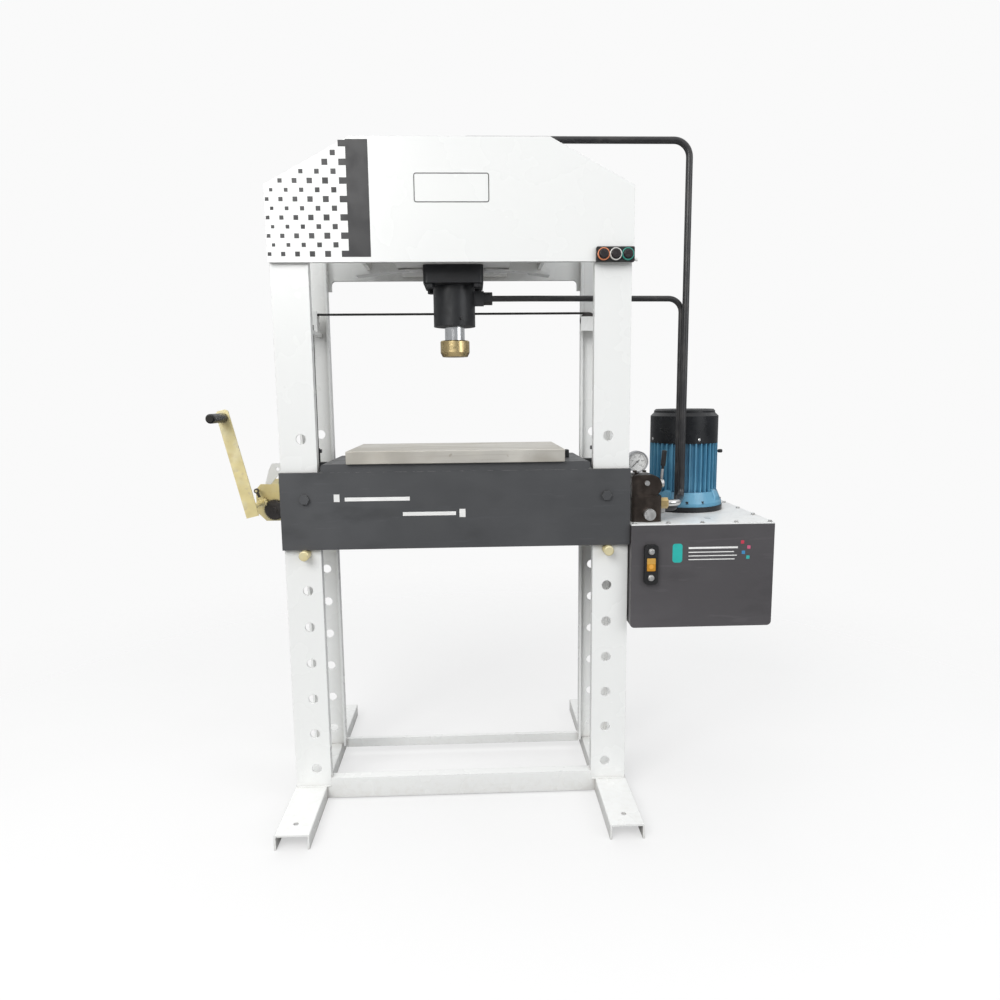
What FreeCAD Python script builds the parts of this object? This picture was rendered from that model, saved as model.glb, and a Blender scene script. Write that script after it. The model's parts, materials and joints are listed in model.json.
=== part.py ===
import FreeCAD, Part
import math
import os

# Workshop hydraulic press: H frame, cylinder, height-adjustable bed, hand winch, power pack.
# Millimetres. +Z up, +X to the right, -Y towards the operator.
# Origin on the floor, below the ram axis, midway between the front and rear frame plates.

Vector = FreeCAD.Vector
X_AXIS = Vector(1, 0, 0)
Y_AXIS = Vector(0, 1, 0)
Z_AXIS = Vector(0, 0, 1)

# ---- clearances -----------------------------------------------------------
RUNNING_FIT = 0.06
BODY_GAP = 0.3
GUIDE_GAP = 2.5

# ---- frame ----------------------------------------------------------------
FRAME_DEPTH = 345.0
COLUMN_OUTER_X = 552.0
HEAD_PLATE_T = 16.0
HEAD_OVERHANG = 2.0
HEAD_HALF_WIDTH = COLUMN_OUTER_X + HEAD_OVERHANG
HEAD_SLOPE_RUN = 257.0
HEAD_TOP_HALF_WIDTH = HEAD_HALF_WIDTH - HEAD_SLOPE_RUN
HEAD_BOTTOM_Z = 1741.0
HEAD_HEIGHT = 359.0
HEAD_TOP_Z = HEAD_BOTTOM_Z + HEAD_HEIGHT
HEAD_SHOULDER_HEIGHT = 223.0
HEAD_SHOULDER_Z = HEAD_BOTTOM_Z + HEAD_SHOULDER_HEIGHT
HEAD_CORNER_R = 14.0
COLUMN_WIDTH = 115.0
COLUMN_DEPTH = 30.0
COLUMN_T = 8.0
COLUMN_ROOT_R = 6.0
COLUMN_TOP_DROP = 10.0
FOOT_HEIGHT = 47.0
FOOT_WIDTH = 106.0
FOOT_OVERHANG = 6.0
FOOT_OUTER_X = COLUMN_OUTER_X + FOOT_OVERHANG
FOOT_FRONT_Y = -430.5
FOOT_REAR_Y = 495.5
FOOT_T = 6.0
ANCHOR_X = FOOT_OUTER_X - FOOT_WIDTH / 2
ANCHOR_Y = 371.0
ANCHOR_R = 8.0
TIE_FRONT_BOTTOM_Z = 5.0
TIE_FRONT_TOP_Z = 75.0
TIE_FLANGE = 35.0
TIE_T = 6.0
TIE_REAR_BOTTOM_Z = 36.0
TIE_REAR_TOP_Z = 68.0
TIE_REAR_DEPTH = 16.0

# ---- support pins and their holes ----------------------------------------------
HOLE_INSET = 68.0
HOLE_X = COLUMN_OUTER_X - HOLE_INSET
HOLE_PITCH = 122.0
PIN_Z = 843.0
PIN_R = 15.72
HOLES_BELOW = 6
HOLES_ABOVE = 3
PIN_OVERHANG = 39.5
PIN_CHAMFER = 2.5

# ---- cylinder and ram --------------------------------------------------------
SEAT_RISE = 7.0
SEAT_Z = HEAD_BOTTOM_Z + SEAT_RISE
SEAT_T = 30.0
SEAT_HALF_WIDTH = 180.0
RIB_T = 12.0
RIB_TOP_DROP = 60.0
RIB_TOP_Z = HEAD_TOP_Z - RIB_TOP_DROP
OUTER_RIB_X = 300.0
FLANGE_SIZE = 190.0
FLANGE_T = 56.0
FLANGE_BOLT_OFFSET = 74.0
FLANGE_BOLT_R = 9.0
BARREL_R = 68.0
BARREL_DROP = 184.0
BARREL_BOTTOM_Z = SEAT_Z - BARREL_DROP
BORE_R = 50.0
GLAND_HEIGHT = 34.0
PISTON_HEIGHT = 36.0
RAM_STROKE = 160.0
STROKE_MARGIN = 10.0
CYLINDER_END_T = 30.0
ROD_R = 32.5
CAP_R = 48.0
CAP_GAP = 45.0
CAP_HEIGHT = 52.0
CAP_TOP_Z = BARREL_BOTTOM_Z - CAP_GAP
CAP_BOTTOM_Z = CAP_TOP_Z - CAP_HEIGHT
CAP_NOSE_R = 41.5
CAP_SOCKET_DEPTH = 30.0
BOW_HALF_SPAN = 312.0
BOW_DROP = 20.0
BOW_T = 4.0
BOW_WIDTH = 50.0

# ---- bed ------------------------------------------------------------------------
BED_HALF_WIDTH = HEAD_HALF_WIDTH
BED_HEIGHT = 246.0
BED_PLATE_T = 16.0
BED_TOP_PLATE_T = 26.0
BED_END_GAP = 13.0
BED_RIB_T = 12.0
BED_INNER_RIB_X = 150.0
GUIDE_RIB_GAP = 3.0
BOLSTER_HALF_WIDTH = 342.0
BOLSTER_DEPTH = 380.0
BOLSTER_T = 40.0
BED_BOLT_INSET = 75.0
BED_BOLT_X = COLUMN_OUTER_X - BED_BOLT_INSET
BED_BOLT_RISE = 178.0
BED_BOLT_Z = PIN_Z + BED_BOLT_RISE
BED_BOLT_R = 8.0
BED_BOLT_HEAD_AF = 28.0
BED_BOLT_HEAD_T = 11.0

# ---- hoist rope, sheaves and winch --------------------------------------------------
ROPE_R = 4.0
ROPE_A_Y = 76.0
ROPE_SPACING = 16.0
ROPE_B_Y = ROPE_A_Y + ROPE_SPACING
SHEAVE_PITCH_R = 24.0
SHEAVE_WIDTH = 13.0
SHEAVE_RIM = 3.0
SHEAVE_DROP = 149.0
SHEAVE_Z = HEAD_BOTTOM_Z - SHEAVE_DROP
SHEAVE_LEFT_INSET = 47.0
SHEAVE_LEFT_X = SHEAVE_LEFT_INSET - COLUMN_OUTER_X
SHEAVE_RIGHT_INSET = 96.0
SHEAVE_RIGHT_X = COLUMN_OUTER_X - SHEAVE_RIGHT_INSET
CHEEK_DROP_LEFT = 12.0
CHEEK_RISE_LEFT = 33.0
CHEEK_RISE_RIGHT = 12.0
CHEEK_PLAY = 1.0
CHEEK_OUTER_REACH = 32.0
BRACKET_DROP = 36.0
BRACKET_BEAM = 12.0
LEFT_BEAM_GAP = 3.0
RIGHT_CHEEK_INNER = 26.0
RIGHT_CHEEK_OUTER = 81.0
AXLE_R = 7.0
CHEEK_T = 5.0
DRUM_REACH = 49.0
DRUM_X = -COLUMN_OUTER_X - DRUM_REACH
WINCH_BOTTOM_Z = 936.0
DRUM_RISE = 38.4
DRUM_Z = WINCH_BOTTOM_Z + DRUM_RISE
DRUM_PITCH_R = 28.0
DRUM_FLANGE_R = 35.0
DRUM_FLANGE_T = 4.0
DRUM_SHAFT_R = 9.0
GEAR_MODULE = 2.0
GEAR_TEETH = 32
PINION_TEETH = 12
PINION_DX = -34.5
GEAR_WIDTH = 14.0
GEAR_BACKLASH = 0.45
PINION_SHAFT_R = 8.0
WINCH_PLATE_T = 6.0
WINCH_FRONT_Y = -56.0
WINCH_REAR_GAP = 18.0
WINCH_REAR_Y = ROPE_B_Y + WINCH_REAR_GAP
WINCH_HEIGHT = 122.0
WINCH_TOP_Z = WINCH_BOTTOM_Z + WINCH_HEIGHT
WINCH_REACH = 61.0
WINCH_LEFT_X = DRUM_X - WINCH_REACH
WINCH_MOUNT_T = 4.0
CRANK_FORWARD = 41.5
CRANK_FRONT_Y = -FRAME_DEPTH / 2 - CRANK_FORWARD
CRANK_T = 6.0
CRANK_WIDTH = 38.0
CRANK_LENGTH = 337.0
CRANK_TAIL = 28.0
CRANK_LEAN_DEG = 13.0
GRIP_INSET = 23.0
CRANK_ARM = CRANK_LENGTH - CRANK_TAIL - GRIP_INSET
GRIP_R = 14.0
GRIP_BORE_R = 6.1
GRIP_LENGTH = 112.0
RATCHET_R = 18.0
RATCHET_TEETH = 10
RATCHET_T = 8.0

# ---- power pack ----------------------------------------------------------------------
TANK_GAP = 4.0
TANK_LEFT_X = COLUMN_OUTER_X + TANK_GAP
TANK_WIDTH = 465.0
TANK_FORWARD = 17.5
TANK_FRONT_Y = -FRAME_DEPTH / 2 - TANK_FORWARD
TANK_DEPTH = 600.0
TANK_BOTTOM_Z = 585.0
TANK_HEIGHT = 342.0
TANK_TOP_Z = TANK_BOTTOM_Z + TANK_HEIGHT
TANK_WALL = 3.0
TANK_LID_T = 4.0
TANK_CORNER_R = 14.0
MOTOR_INSET = 262.0
MOTOR_X = TANK_LEFT_X + MOTOR_INSET
MOTOR_SETBACK = 346.0
MOTOR_Y = TANK_FRONT_Y + MOTOR_SETBACK
ADAPTER_R = 140.0
ADAPTER_T = 18.0
MOTOR_FLANGE_R = 137.0
MOTOR_FLANGE_T = 12.0
MOTOR_FLARE_HEIGHT = 38.0
MOTOR_FIN_R = 119.0
MOTOR_CORE_R = 105.0
MOTOR_FINS = 36
MOTOR_FIN_T = 4.0
MOTOR_HEIGHT = 239.0
MOTOR_TOP_Z = TANK_TOP_Z + MOTOR_HEIGHT
COWL_HEIGHT = 119.0
COWL_TOP_Z = MOTOR_TOP_Z + COWL_HEIGHT
COWL_T = 2.0
ROTOR_R = 70.0
MOTOR_SHAFT_R = 14.0
BELL_R = 60.0
PIPE_UPPER_R = 11.0
PIPE_LOWER_R = 9.5
PIPE_BORE = 0.7
PIPE_RISE = 47.0
PIPE_TOP_Z = HEAD_TOP_Z + PIPE_RISE
PIPE_INSET = 212.0
PIPE_UPPER_X = TANK_LEFT_X + PIPE_INSET
PIPE_SHIFT = 8.0
PIPE_LOWER_X = PIPE_UPPER_X - PIPE_SHIFT
PIPE_GAP = 1.5
PIPE_LOWER_Y = PIPE_UPPER_R + PIPE_LOWER_R + PIPE_GAP
PIPE_LOWER_BREAK_X = 250.0
PORT_RISE = 90.0
PORT_Z = BARREL_BOTTOM_Z + PORT_RISE
PIPE_UPPER_BEND = 52.0
PIPE_LOWER_BEND = 45.0
PIPE_END_BEND = 34.0
PIPE_STUB = 32.0
PORT_BLOCK = 29.0
UNION_LENGTH = 28.0
VALVE_INSET = 10.0
VALVE_WIDTH = 98.0
VALVE_LEFT_X = TANK_LEFT_X + VALVE_INSET
VALVE_RIGHT_X = VALVE_LEFT_X + VALVE_WIDTH
VALVE_SETBACK = 42.0
VALVE_DEPTH = 88.0
VALVE_FRONT_Y = TANK_FRONT_Y + VALVE_SETBACK
VALVE_REAR_Y = VALVE_FRONT_Y + VALVE_DEPTH
VALVE_BLOCK_HEIGHT = 85.0
VALVE_HEAD_HEIGHT = 68.0
VALVE_STEP_Z = TANK_TOP_Z + VALVE_BLOCK_HEIGHT
VALVE_TOP_Z = VALVE_STEP_Z + VALVE_HEAD_HEIGHT
SPOOL_HOUSING_R = 36.0
SPOOL_HOUSING_X = VALVE_RIGHT_X - SPOOL_HOUSING_R
LEVER_Y = (VALVE_FRONT_Y + VALVE_REAR_Y) / 2
LEVER_DROP = 32.0
LEVER_Z = VALVE_TOP_Z - LEVER_DROP
LEVER_HUB_R = 13.0
LEVER_LENGTH = 108.0
LEVER_TILT_DEG = 5.0
GAUGE_INSET = 25.0
GAUGE_X = VALVE_LEFT_X + GAUGE_INSET
GAUGE_SETBACK = 53.0
GAUGE_Y = VALVE_FRONT_Y + GAUGE_SETBACK
GAUGE_RISE = 40.0
GAUGE_Z = VALVE_TOP_Z + GAUGE_RISE
GAUGE_R = 35.0
GAUGE_DEPTH = 28.0
LEVEL_INSET = 63.0
LEVEL_X = TANK_LEFT_X + LEVEL_INSET
LEVEL_DROP = 130.0
LEVEL_Z = TANK_TOP_Z - LEVEL_DROP
LEVEL_WIDTH = 44.0
LEVEL_HEIGHT = 129.0
LEVEL_DEPTH = 14.0

# ---- button panel -----------------------------------------------------------------------
PANEL_WIDTH = 117.0
PANEL_HEIGHT = 45.0
PANEL_DEPTH = 12.0
PANEL_RISE = 19.0
PANEL_Z = HEAD_BOTTOM_Z + PANEL_RISE
BUTTON_PITCH = 37.0
BUTTON_R = 13.0
BUTTON_TRAVEL = 4.0
BEZEL_R = 18.2
BEZEL_HEIGHT = 7.0

# ---- derived ---------------------------------------------------------------------------
PLATE_OUT_Y = FRAME_DEPTH / 2
WEB_Y = PLATE_OUT_Y - HEAD_PLATE_T
FLANGE_TIP_Y = WEB_Y - COLUMN_DEPTH
COLUMN_INNER_X = COLUMN_OUTER_X - COLUMN_WIDTH
COLUMN_TOP_Z = HEAD_SHOULDER_Z - COLUMN_TOP_DROP
FOOT_INNER_X = FOOT_OUTER_X - FOOT_WIDTH
HOLE_R = PIN_R + RUNNING_FIT + 0.02
BED_BOTTOM_Z = PIN_Z + PIN_R + BODY_GAP
BED_TOP_Z = BED_BOTTOM_Z + BED_HEIGHT
BED_IN_Y = WEB_Y + GUIDE_GAP
BED_OUT_Y = BED_IN_Y + BED_PLATE_T
BED_TABLE_Z = BED_TOP_Z + BED_TOP_PLATE_T
BOLSTER_TOP_Z = BED_TABLE_Z + BOLSTER_T
FLANGE_BOTTOM_Z = SEAT_Z - FLANGE_T
BORE_BOTTOM_Z = BARREL_BOTTOM_Z + GLAND_HEIGHT
PISTON_TOP_Z = BORE_BOTTOM_Z + STROKE_MARGIN + RAM_STROKE + PISTON_HEIGHT
BORE_TOP_Z = PISTON_TOP_Z + STROKE_MARGIN
BARREL_TOP_Z = BORE_TOP_Z + CYLINDER_END_T
TANK_RIGHT_X = TANK_LEFT_X + TANK_WIDTH
TANK_REAR_Y = TANK_FRONT_Y + TANK_DEPTH
TANK_BODY_TOP_Z = TANK_TOP_Z - TANK_LID_T
GEAR_R = GEAR_MODULE * GEAR_TEETH / 2
PINION_R = GEAR_MODULE * PINION_TEETH / 2
PINION_X = DRUM_X + PINION_DX
PINION_Z = DRUM_Z + math.sqrt((GEAR_R + PINION_R) ** 2 - PINION_DX ** 2)
GEAR_REAR_Y = WINCH_FRONT_Y - 3.0
GEAR_FRONT_Y = GEAR_REAR_Y - GEAR_WIDTH
RATCHET_REAR_Y = GEAR_FRONT_Y - 6.0
FALL_LEFT_X = SHEAVE_LEFT_X + SHEAVE_PITCH_R
FALL_RIGHT_X = SHEAVE_RIGHT_X + SHEAVE_PITCH_R
ROPE_END_Z = BED_TABLE_Z + 34.0


# ---- helpers --------------------------------------------------------------------------
def box(x0, x1, y0, y1, z0, z1):
    """Box between two corners."""
    return Part.makeBox(x1 - x0, y1 - y0, z1 - z0, Vector(x0, y0, z0))


def rod(x, y, z, radius, length, axis=Z_AXIS):
    """Solid cylinder that starts at a point and runs along an axis."""
    return Part.makeCylinder(radius, length, Vector(x, y, z), axis)


def ring(x, y, z, outer, inner, length, axis=Z_AXIS):
    """Cylinder with a through bore."""
    return rod(x, y, z, outer, length, axis).cut(rod(x, y, z, inner, length, axis))


def plate_xz(points, y0, y1):
    """Plate of an outline in the XZ plane, from y0 to y1."""
    outline = [Vector(x, y0, z) for x, z in points]
    face = Part.Face(Part.makePolygon(outline + outline[:1]))
    return face.extrude(Vector(0, y1 - y0, 0))


def plate_yz(points, x0, x1):
    """Plate of an outline in the YZ plane, from x0 to x1."""
    outline = [Vector(x0, y, z) for y, z in points]
    face = Part.Face(Part.makePolygon(outline + outline[:1]))
    return face.extrude(Vector(x1 - x0, 0, 0))


def column_prism(points, z0, z1):
    """Prism of an outline in the XY plane, from z0 to z1."""
    outline = [Vector(x, y, z0) for x, y in points]
    face = Part.Face(Part.makePolygon(outline + outline[:1]))
    return face.extrude(Vector(0, 0, z1 - z0))


def hex_prism(x, y, z, across_flats, length, axis=Z_AXIS):
    """Hexagon prism that starts at a point and runs along an axis."""
    radius = across_flats / math.sqrt(3)
    corners = [(radius * math.cos(math.radians(60 * i)), radius * math.sin(math.radians(60 * i)))
               for i in range(6)]
    prism = column_prism(corners, 0, length)
    prism.Placement = FreeCAD.Placement(Vector(x, y, z), FreeCAD.Rotation(Z_AXIS, axis))
    return prism


def fillet_edges(shape, radius, keep):
    """Fillet the straight edges that keep(edge) picks."""
    return shape.makeFillet(radius, [edge for edge in shape.Edges if keep(edge)])


def edge_runs(axis):
    """Test for straight edges along an axis."""
    def test(edge):
        ends = [vertex.Point for vertex in edge.Vertexes]
        if len(ends) != 2:
            return False
        span = ends[1].sub(ends[0])
        return span.Length > 1e-6 and abs(span.dot(axis)) > 0.999 * span.Length
    return test


def revolve(profile, x, y):
    """Solid of revolution about the vertical through x, y. The profile is (radius, z) pairs."""
    outline = [Vector(x + r, y, z) for r, z in profile]
    face = Part.Face(Part.makePolygon(outline + outline[:1]))
    return face.revolve(Vector(x, y, 0), Z_AXIS, 360)


def bent_path(points, bends):
    """Wire of straight runs through points, joined by tangent arcs, one radius per corner."""
    edges = []
    start = points[0]
    for before, corner, after, bend in zip(points, points[1:], points[2:], bends):
        leaving = before.sub(corner).normalize()
        going = after.sub(corner).normalize()
        half = leaving.getAngle(going) / 2
        reach = bend / math.tan(half)
        first = corner.add(Vector(leaving).multiply(reach))
        last = corner.add(Vector(going).multiply(reach))
        inward = leaving.add(going).normalize()
        middle = corner.add(inward.multiply(bend / math.sin(half) - bend))
        edges.append(Part.LineSegment(start, first).toShape())
        edges.append(Part.Arc(first, middle, last).toShape())
        start = last
    edges.append(Part.LineSegment(start, points[-1]).toShape())
    return Part.Wire(edges)


def swept_rod(path, radius):
    """Round bar along a wire."""
    first = path.Edges[0]
    direction = first.tangentAt(first.FirstParameter)
    circle = Part.makeCircle(radius, first.valueAt(first.FirstParameter), direction)
    return path.makePipeShell([Part.Wire(circle)], True, False)


def mirror_x(shape):
    """Copy of a shape on the other side of the press."""
    return shape.mirror(Vector(0, 0, 0), X_AXIS)


def mirror_y(shape):
    """Copy of a front shape at the rear of the frame."""
    return shape.mirror(Vector(0, 0, 0), Y_AXIS)


def save(node, *solids):
    """Write one node."""
    shape = solids[0] if len(solids) == 1 else Part.makeCompound(list(solids))
    shape.exportStep("parts/" + node + ".step")


# ---- frame ----------------------------------------------------------------------------
def head_outline(drop):
    """Outline of a head plate: a trapezoid with chamfered upper corners."""
    return [
        (-HEAD_HALF_WIDTH, HEAD_BOTTOM_Z - drop),
        (-HEAD_HALF_WIDTH, HEAD_SHOULDER_Z),
        (-HEAD_TOP_HALF_WIDTH, HEAD_TOP_Z),
        (HEAD_TOP_HALF_WIDTH, HEAD_TOP_Z),
        (HEAD_HALF_WIDTH, HEAD_SHOULDER_Z),
        (HEAD_HALF_WIDTH, HEAD_BOTTOM_Z - drop),
    ]


def head_front_plate():
    plate = plate_xz(head_outline(0), -PLATE_OUT_Y, -WEB_Y)
    return fillet_edges(plate, HEAD_CORNER_R / 2, edge_runs(Y_AXIS))


def head_rear_plate():
    """Rear plate: short legs run down behind the columns, with round inside corners."""
    leg = 40.0
    plate = plate_xz(head_outline(leg), WEB_Y, PLATE_OUT_Y)
    window = box(-COLUMN_INNER_X + leg / 4, COLUMN_INNER_X - leg / 4, WEB_Y - 1, PLATE_OUT_Y + 1,
                 HEAD_BOTTOM_Z - 4 * leg, HEAD_BOTTOM_Z - 5)
    window = fillet_edges(window, HEAD_CORNER_R, edge_runs(Y_AXIS))
    return plate.cut(window)


def head_cross_members():
    """Cylinder seat, upright ribs and the bowed strap under the seat."""
    seat = box(-SEAT_HALF_WIDTH, SEAT_HALF_WIDTH, -WEB_Y, WEB_Y, SEAT_Z, SEAT_Z + SEAT_T)
    seat = seat.cut(rod(0, 0, SEAT_Z, BARREL_R + RUNNING_FIT, SEAT_T))
    for sx in (-1, 1):
        for sy in (-1, 1):
            seat = seat.cut(rod(sx * FLANGE_BOLT_OFFSET, sy * FLANGE_BOLT_OFFSET, SEAT_Z,
                                FLANGE_BOLT_R, SEAT_T))
    ribs = []
    rib_gap = 24.0
    for x in (-SEAT_HALF_WIDTH, SEAT_HALF_WIDTH - RIB_T):
        ribs.append(box(x, x + RIB_T, -WEB_Y, WEB_Y, SEAT_Z + SEAT_T, RIB_TOP_Z))
    for x in (-OUTER_RIB_X, OUTER_RIB_X - RIB_T):
        ribs.append(box(x, x + RIB_T, -WEB_Y, WEB_Y, SEAT_Z + rib_gap, RIB_TOP_Z))
    return [seat] + ribs + [bowed_strap(-1), bowed_strap(1)]


def bowed_strap(side):
    """Half of a thin flat bar that bows down from the seat plate towards the column."""
    start_x = side * (FLANGE_SIZE / 2 + 6)
    end_x = side * BOW_HALF_SPAN
    mid_x = (start_x + end_x) / 2
    level = SEAT_Z
    upper = Part.Arc(Vector(start_x, 0, level), Vector(mid_x, 0, level - BOW_DROP * 0.36),
                     Vector(end_x, 0, level - BOW_DROP)).toShape()
    lower = Part.Arc(Vector(start_x, 0, level - BOW_T),
                     Vector(mid_x, 0, level - BOW_T - BOW_DROP * 0.36),
                     Vector(end_x, 0, level - BOW_DROP - BOW_T)).toShape()
    ends = [
        Part.LineSegment(Vector(start_x, 0, level - BOW_T), Vector(start_x, 0, level)).toShape(),
        Part.LineSegment(Vector(end_x, 0, level - BOW_DROP),
                         Vector(end_x, 0, level - BOW_DROP - BOW_T)).toShape(),
    ]
    outline = Part.Wire(Part.__sortEdges__([upper, ends[1], lower, ends[0]]))
    strap = Part.Face(outline).extrude(Vector(0, BOW_WIDTH, 0))
    strap.translate(Vector(0, -BOW_WIDTH / 2, 0))
    return strap


def hole_heights():
    """Centres of the adjustment holes, from the lowest up."""
    return [PIN_Z + HOLE_PITCH * step for step in range(-HOLES_BELOW, HOLES_ABOVE + 1)]


def column_front_right():
    """Channel with its web to the front and its flanges to the rear, drilled for the pins."""
    outline = [
        (COLUMN_INNER_X, -WEB_Y),
        (COLUMN_OUTER_X, -WEB_Y),
        (COLUMN_OUTER_X, -FLANGE_TIP_Y),
        (COLUMN_OUTER_X - COLUMN_T, -FLANGE_TIP_Y),
        (COLUMN_OUTER_X - COLUMN_T, -WEB_Y + COLUMN_T),
        (COLUMN_INNER_X + COLUMN_T, -WEB_Y + COLUMN_T),
        (COLUMN_INNER_X + COLUMN_T, -FLANGE_TIP_Y),
        (COLUMN_INNER_X, -FLANGE_TIP_Y),
    ]
    column = column_prism(outline, FOOT_HEIGHT, COLUMN_TOP_Z)
    inner_y = -WEB_Y + COLUMN_T
    inside = (COLUMN_INNER_X + COLUMN_T + 0.01, COLUMN_OUTER_X - COLUMN_T - 0.01)

    def root_edge(edge):
        point = edge.Vertexes[0].Point
        at_root = abs(point.y - inner_y) < 0.01
        return edge_runs(Z_AXIS)(edge) and at_root and not inside[0] < point.x < inside[1]

    column = fillet_edges(column, COLUMN_ROOT_R, root_edge)
    for z in hole_heights():
        column = column.cut(rod(HOLE_X, -WEB_Y - 1, z, HOLE_R, COLUMN_T + 2, Y_AXIS))
    return column


def foot_right():
    """Floor channel, web up, with a plain drilled hole for an anchor near each end."""
    outer = box(FOOT_INNER_X, FOOT_OUTER_X, FOOT_FRONT_Y, FOOT_REAR_Y, 0, FOOT_HEIGHT)
    outer = fillet_edges(outer, 2 * FOOT_T / 3, lambda edge: edge_runs(Y_AXIS)(edge)
                         and edge.Vertexes[0].Point.z > FOOT_T)
    hollow = box(FOOT_INNER_X + FOOT_T, FOOT_OUTER_X - FOOT_T, FOOT_FRONT_Y, FOOT_REAR_Y,
                 0, FOOT_HEIGHT - FOOT_T)
    foot = outer.cut(hollow)
    for y in (-ANCHOR_Y, ANCHOR_Y):
        foot = foot.cut(rod(ANCHOR_X, y, 0, ANCHOR_R, FOOT_HEIGHT))
    return foot


def foot_ties():
    """Channel between the front columns and feet, and a flat bar between the rear columns."""
    outline = [
        (-FOOT_INNER_X, TIE_FRONT_BOTTOM_Z),
        (-FOOT_INNER_X, FOOT_HEIGHT),
        (-COLUMN_INNER_X, FOOT_HEIGHT),
        (-COLUMN_INNER_X, TIE_FRONT_TOP_Z),
        (COLUMN_INNER_X, TIE_FRONT_TOP_Z),
        (COLUMN_INNER_X, FOOT_HEIGHT),
        (FOOT_INNER_X, FOOT_HEIGHT),
        (FOOT_INNER_X, TIE_FRONT_BOTTOM_Z),
    ]
    front = plate_xz(outline, -WEB_Y, -WEB_Y + TIE_T)
    for z in (TIE_FRONT_BOTTOM_Z, TIE_FRONT_TOP_Z - TIE_T):
        front = front.fuse(box(-COLUMN_INNER_X, COLUMN_INNER_X, -WEB_Y + TIE_T,
                               -WEB_Y + TIE_FLANGE, z, z + TIE_T))
    rear = box(-COLUMN_INNER_X, COLUMN_INNER_X, WEB_Y - TIE_REAR_DEPTH, WEB_Y,
               TIE_REAR_BOTTOM_Z, TIE_REAR_TOP_Z)
    return [front.removeSplitter(), rear]


# ---- cylinder and ram -------------------------------------------------------------------
def cylinder_barrel():
    """Barrel with a square bolting flange and a closed upper end with its port."""
    flange = box(-FLANGE_SIZE / 2, FLANGE_SIZE / 2, -FLANGE_SIZE / 2, FLANGE_SIZE / 2,
                 FLANGE_BOTTOM_Z, SEAT_Z)
    flange = fillet_edges(flange, HEAD_CORNER_R, edge_runs(Z_AXIS))
    barrel = flange.fuse(rod(0, 0, BARREL_BOTTOM_Z, BARREL_R, BARREL_TOP_Z - BARREL_BOTTOM_Z))
    barrel = barrel.cut(rod(0, 0, BARREL_BOTTOM_Z, BORE_R, BORE_TOP_Z - BARREL_BOTTOM_Z))
    barrel = barrel.cut(rod(0, 0, BORE_TOP_Z, PIPE_UPPER_R * PIPE_BORE, CYLINDER_END_T))
    barrel = barrel.cut(rod(BORE_R / 2, 0, PORT_Z, PIPE_LOWER_R * PIPE_BORE, BARREL_R, X_AXIS))
    for sx in (-1, 1):
        for sy in (-1, 1):
            barrel = barrel.cut(rod(sx * FLANGE_BOLT_OFFSET, sy * FLANGE_BOLT_OFFSET,
                                    FLANGE_BOTTOM_Z, FLANGE_BOLT_R, FLANGE_T))
    return barrel


def cylinder_gland():
    """Guide bush that closes the lower end of the barrel round the rod."""
    return ring(0, 0, BARREL_BOTTOM_Z, BORE_R, ROD_R + RUNNING_FIT, GLAND_HEIGHT)


def flange_bolts():
    """Hexagon bolts up through the flange into the seat."""
    bolts = []
    head_t = 12.0
    for sx in (-1, 1):
        for sy in (-1, 1):
            x = sx * FLANGE_BOLT_OFFSET
            y = sy * FLANGE_BOLT_OFFSET
            head = hex_prism(x, y, FLANGE_BOTTOM_Z - head_t, 3.1 * FLANGE_BOLT_R, head_t)
            shank = rod(x, y, FLANGE_BOTTOM_Z, FLANGE_BOLT_R, FLANGE_T + SEAT_T)
            bolts.append(head.fuse(shank))
    return bolts


def piston_rod():
    piston = rod(0, 0, PISTON_TOP_Z - PISTON_HEIGHT, BORE_R - RUNNING_FIT, PISTON_HEIGHT)
    bottom = CAP_BOTTOM_Z + (CAP_TOP_Z - CAP_BOTTOM_Z) - CAP_SOCKET_DEPTH
    return piston.fuse(rod(0, 0, bottom, ROD_R, PISTON_TOP_Z - PISTON_HEIGHT - bottom))


def ram_cap():
    """Pressing cap on the rod end, with a tapered nose and a socket for the rod."""
    taper = (CAP_R - CAP_NOSE_R) * 2
    socket_z = CAP_TOP_Z - CAP_SOCKET_DEPTH
    profile = [(0, CAP_BOTTOM_Z), (CAP_NOSE_R, CAP_BOTTOM_Z), (CAP_R, CAP_BOTTOM_Z + taper),
               (CAP_R, CAP_TOP_Z - 3), (CAP_R - 3, CAP_TOP_Z), (ROD_R, CAP_TOP_Z),
               (ROD_R, socket_z), (0, socket_z)]
    return revolve(profile, 0, 0)


# ---- bed ---------------------------------------------------------------------------------
def bed_front_plate():
    plate = box(-BED_HALF_WIDTH, BED_HALF_WIDTH, -BED_OUT_Y, -BED_IN_Y, BED_BOTTOM_Z, BED_TOP_Z)
    for x in (-BED_BOLT_X, BED_BOLT_X):
        plate = plate.cut(rod(x, -BED_OUT_Y, BED_BOLT_Z, BED_BOLT_R, BED_PLATE_T, Y_AXIS))
    return plate


def bed_cross_members():
    """Plates between the two bed plates: guides beside the columns, and ribs inboard."""
    guide_x = COLUMN_INNER_X - GUIDE_RIB_GAP
    ribs = []
    for outer in (guide_x, BED_INNER_RIB_X + BED_RIB_T / 2):
        rib = box(outer - BED_RIB_T, outer, -BED_IN_Y, BED_IN_Y, BED_BOTTOM_Z + 8, BED_TOP_Z)
        ribs.append(rib)
        ribs.append(mirror_x(rib))
    return ribs


def bed_top_plate():
    """Table plate on the bed plates, between the columns, with rounded ends."""
    half = COLUMN_INNER_X - BED_END_GAP
    plate = box(-half, half, -BED_OUT_Y, BED_OUT_Y, BED_TOP_Z, BED_TABLE_Z)

    def end_edge(edge):
        return edge_runs(Y_AXIS)(edge)

    return fillet_edges(plate, BED_TOP_PLATE_T * 0.38, end_edge)


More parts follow.
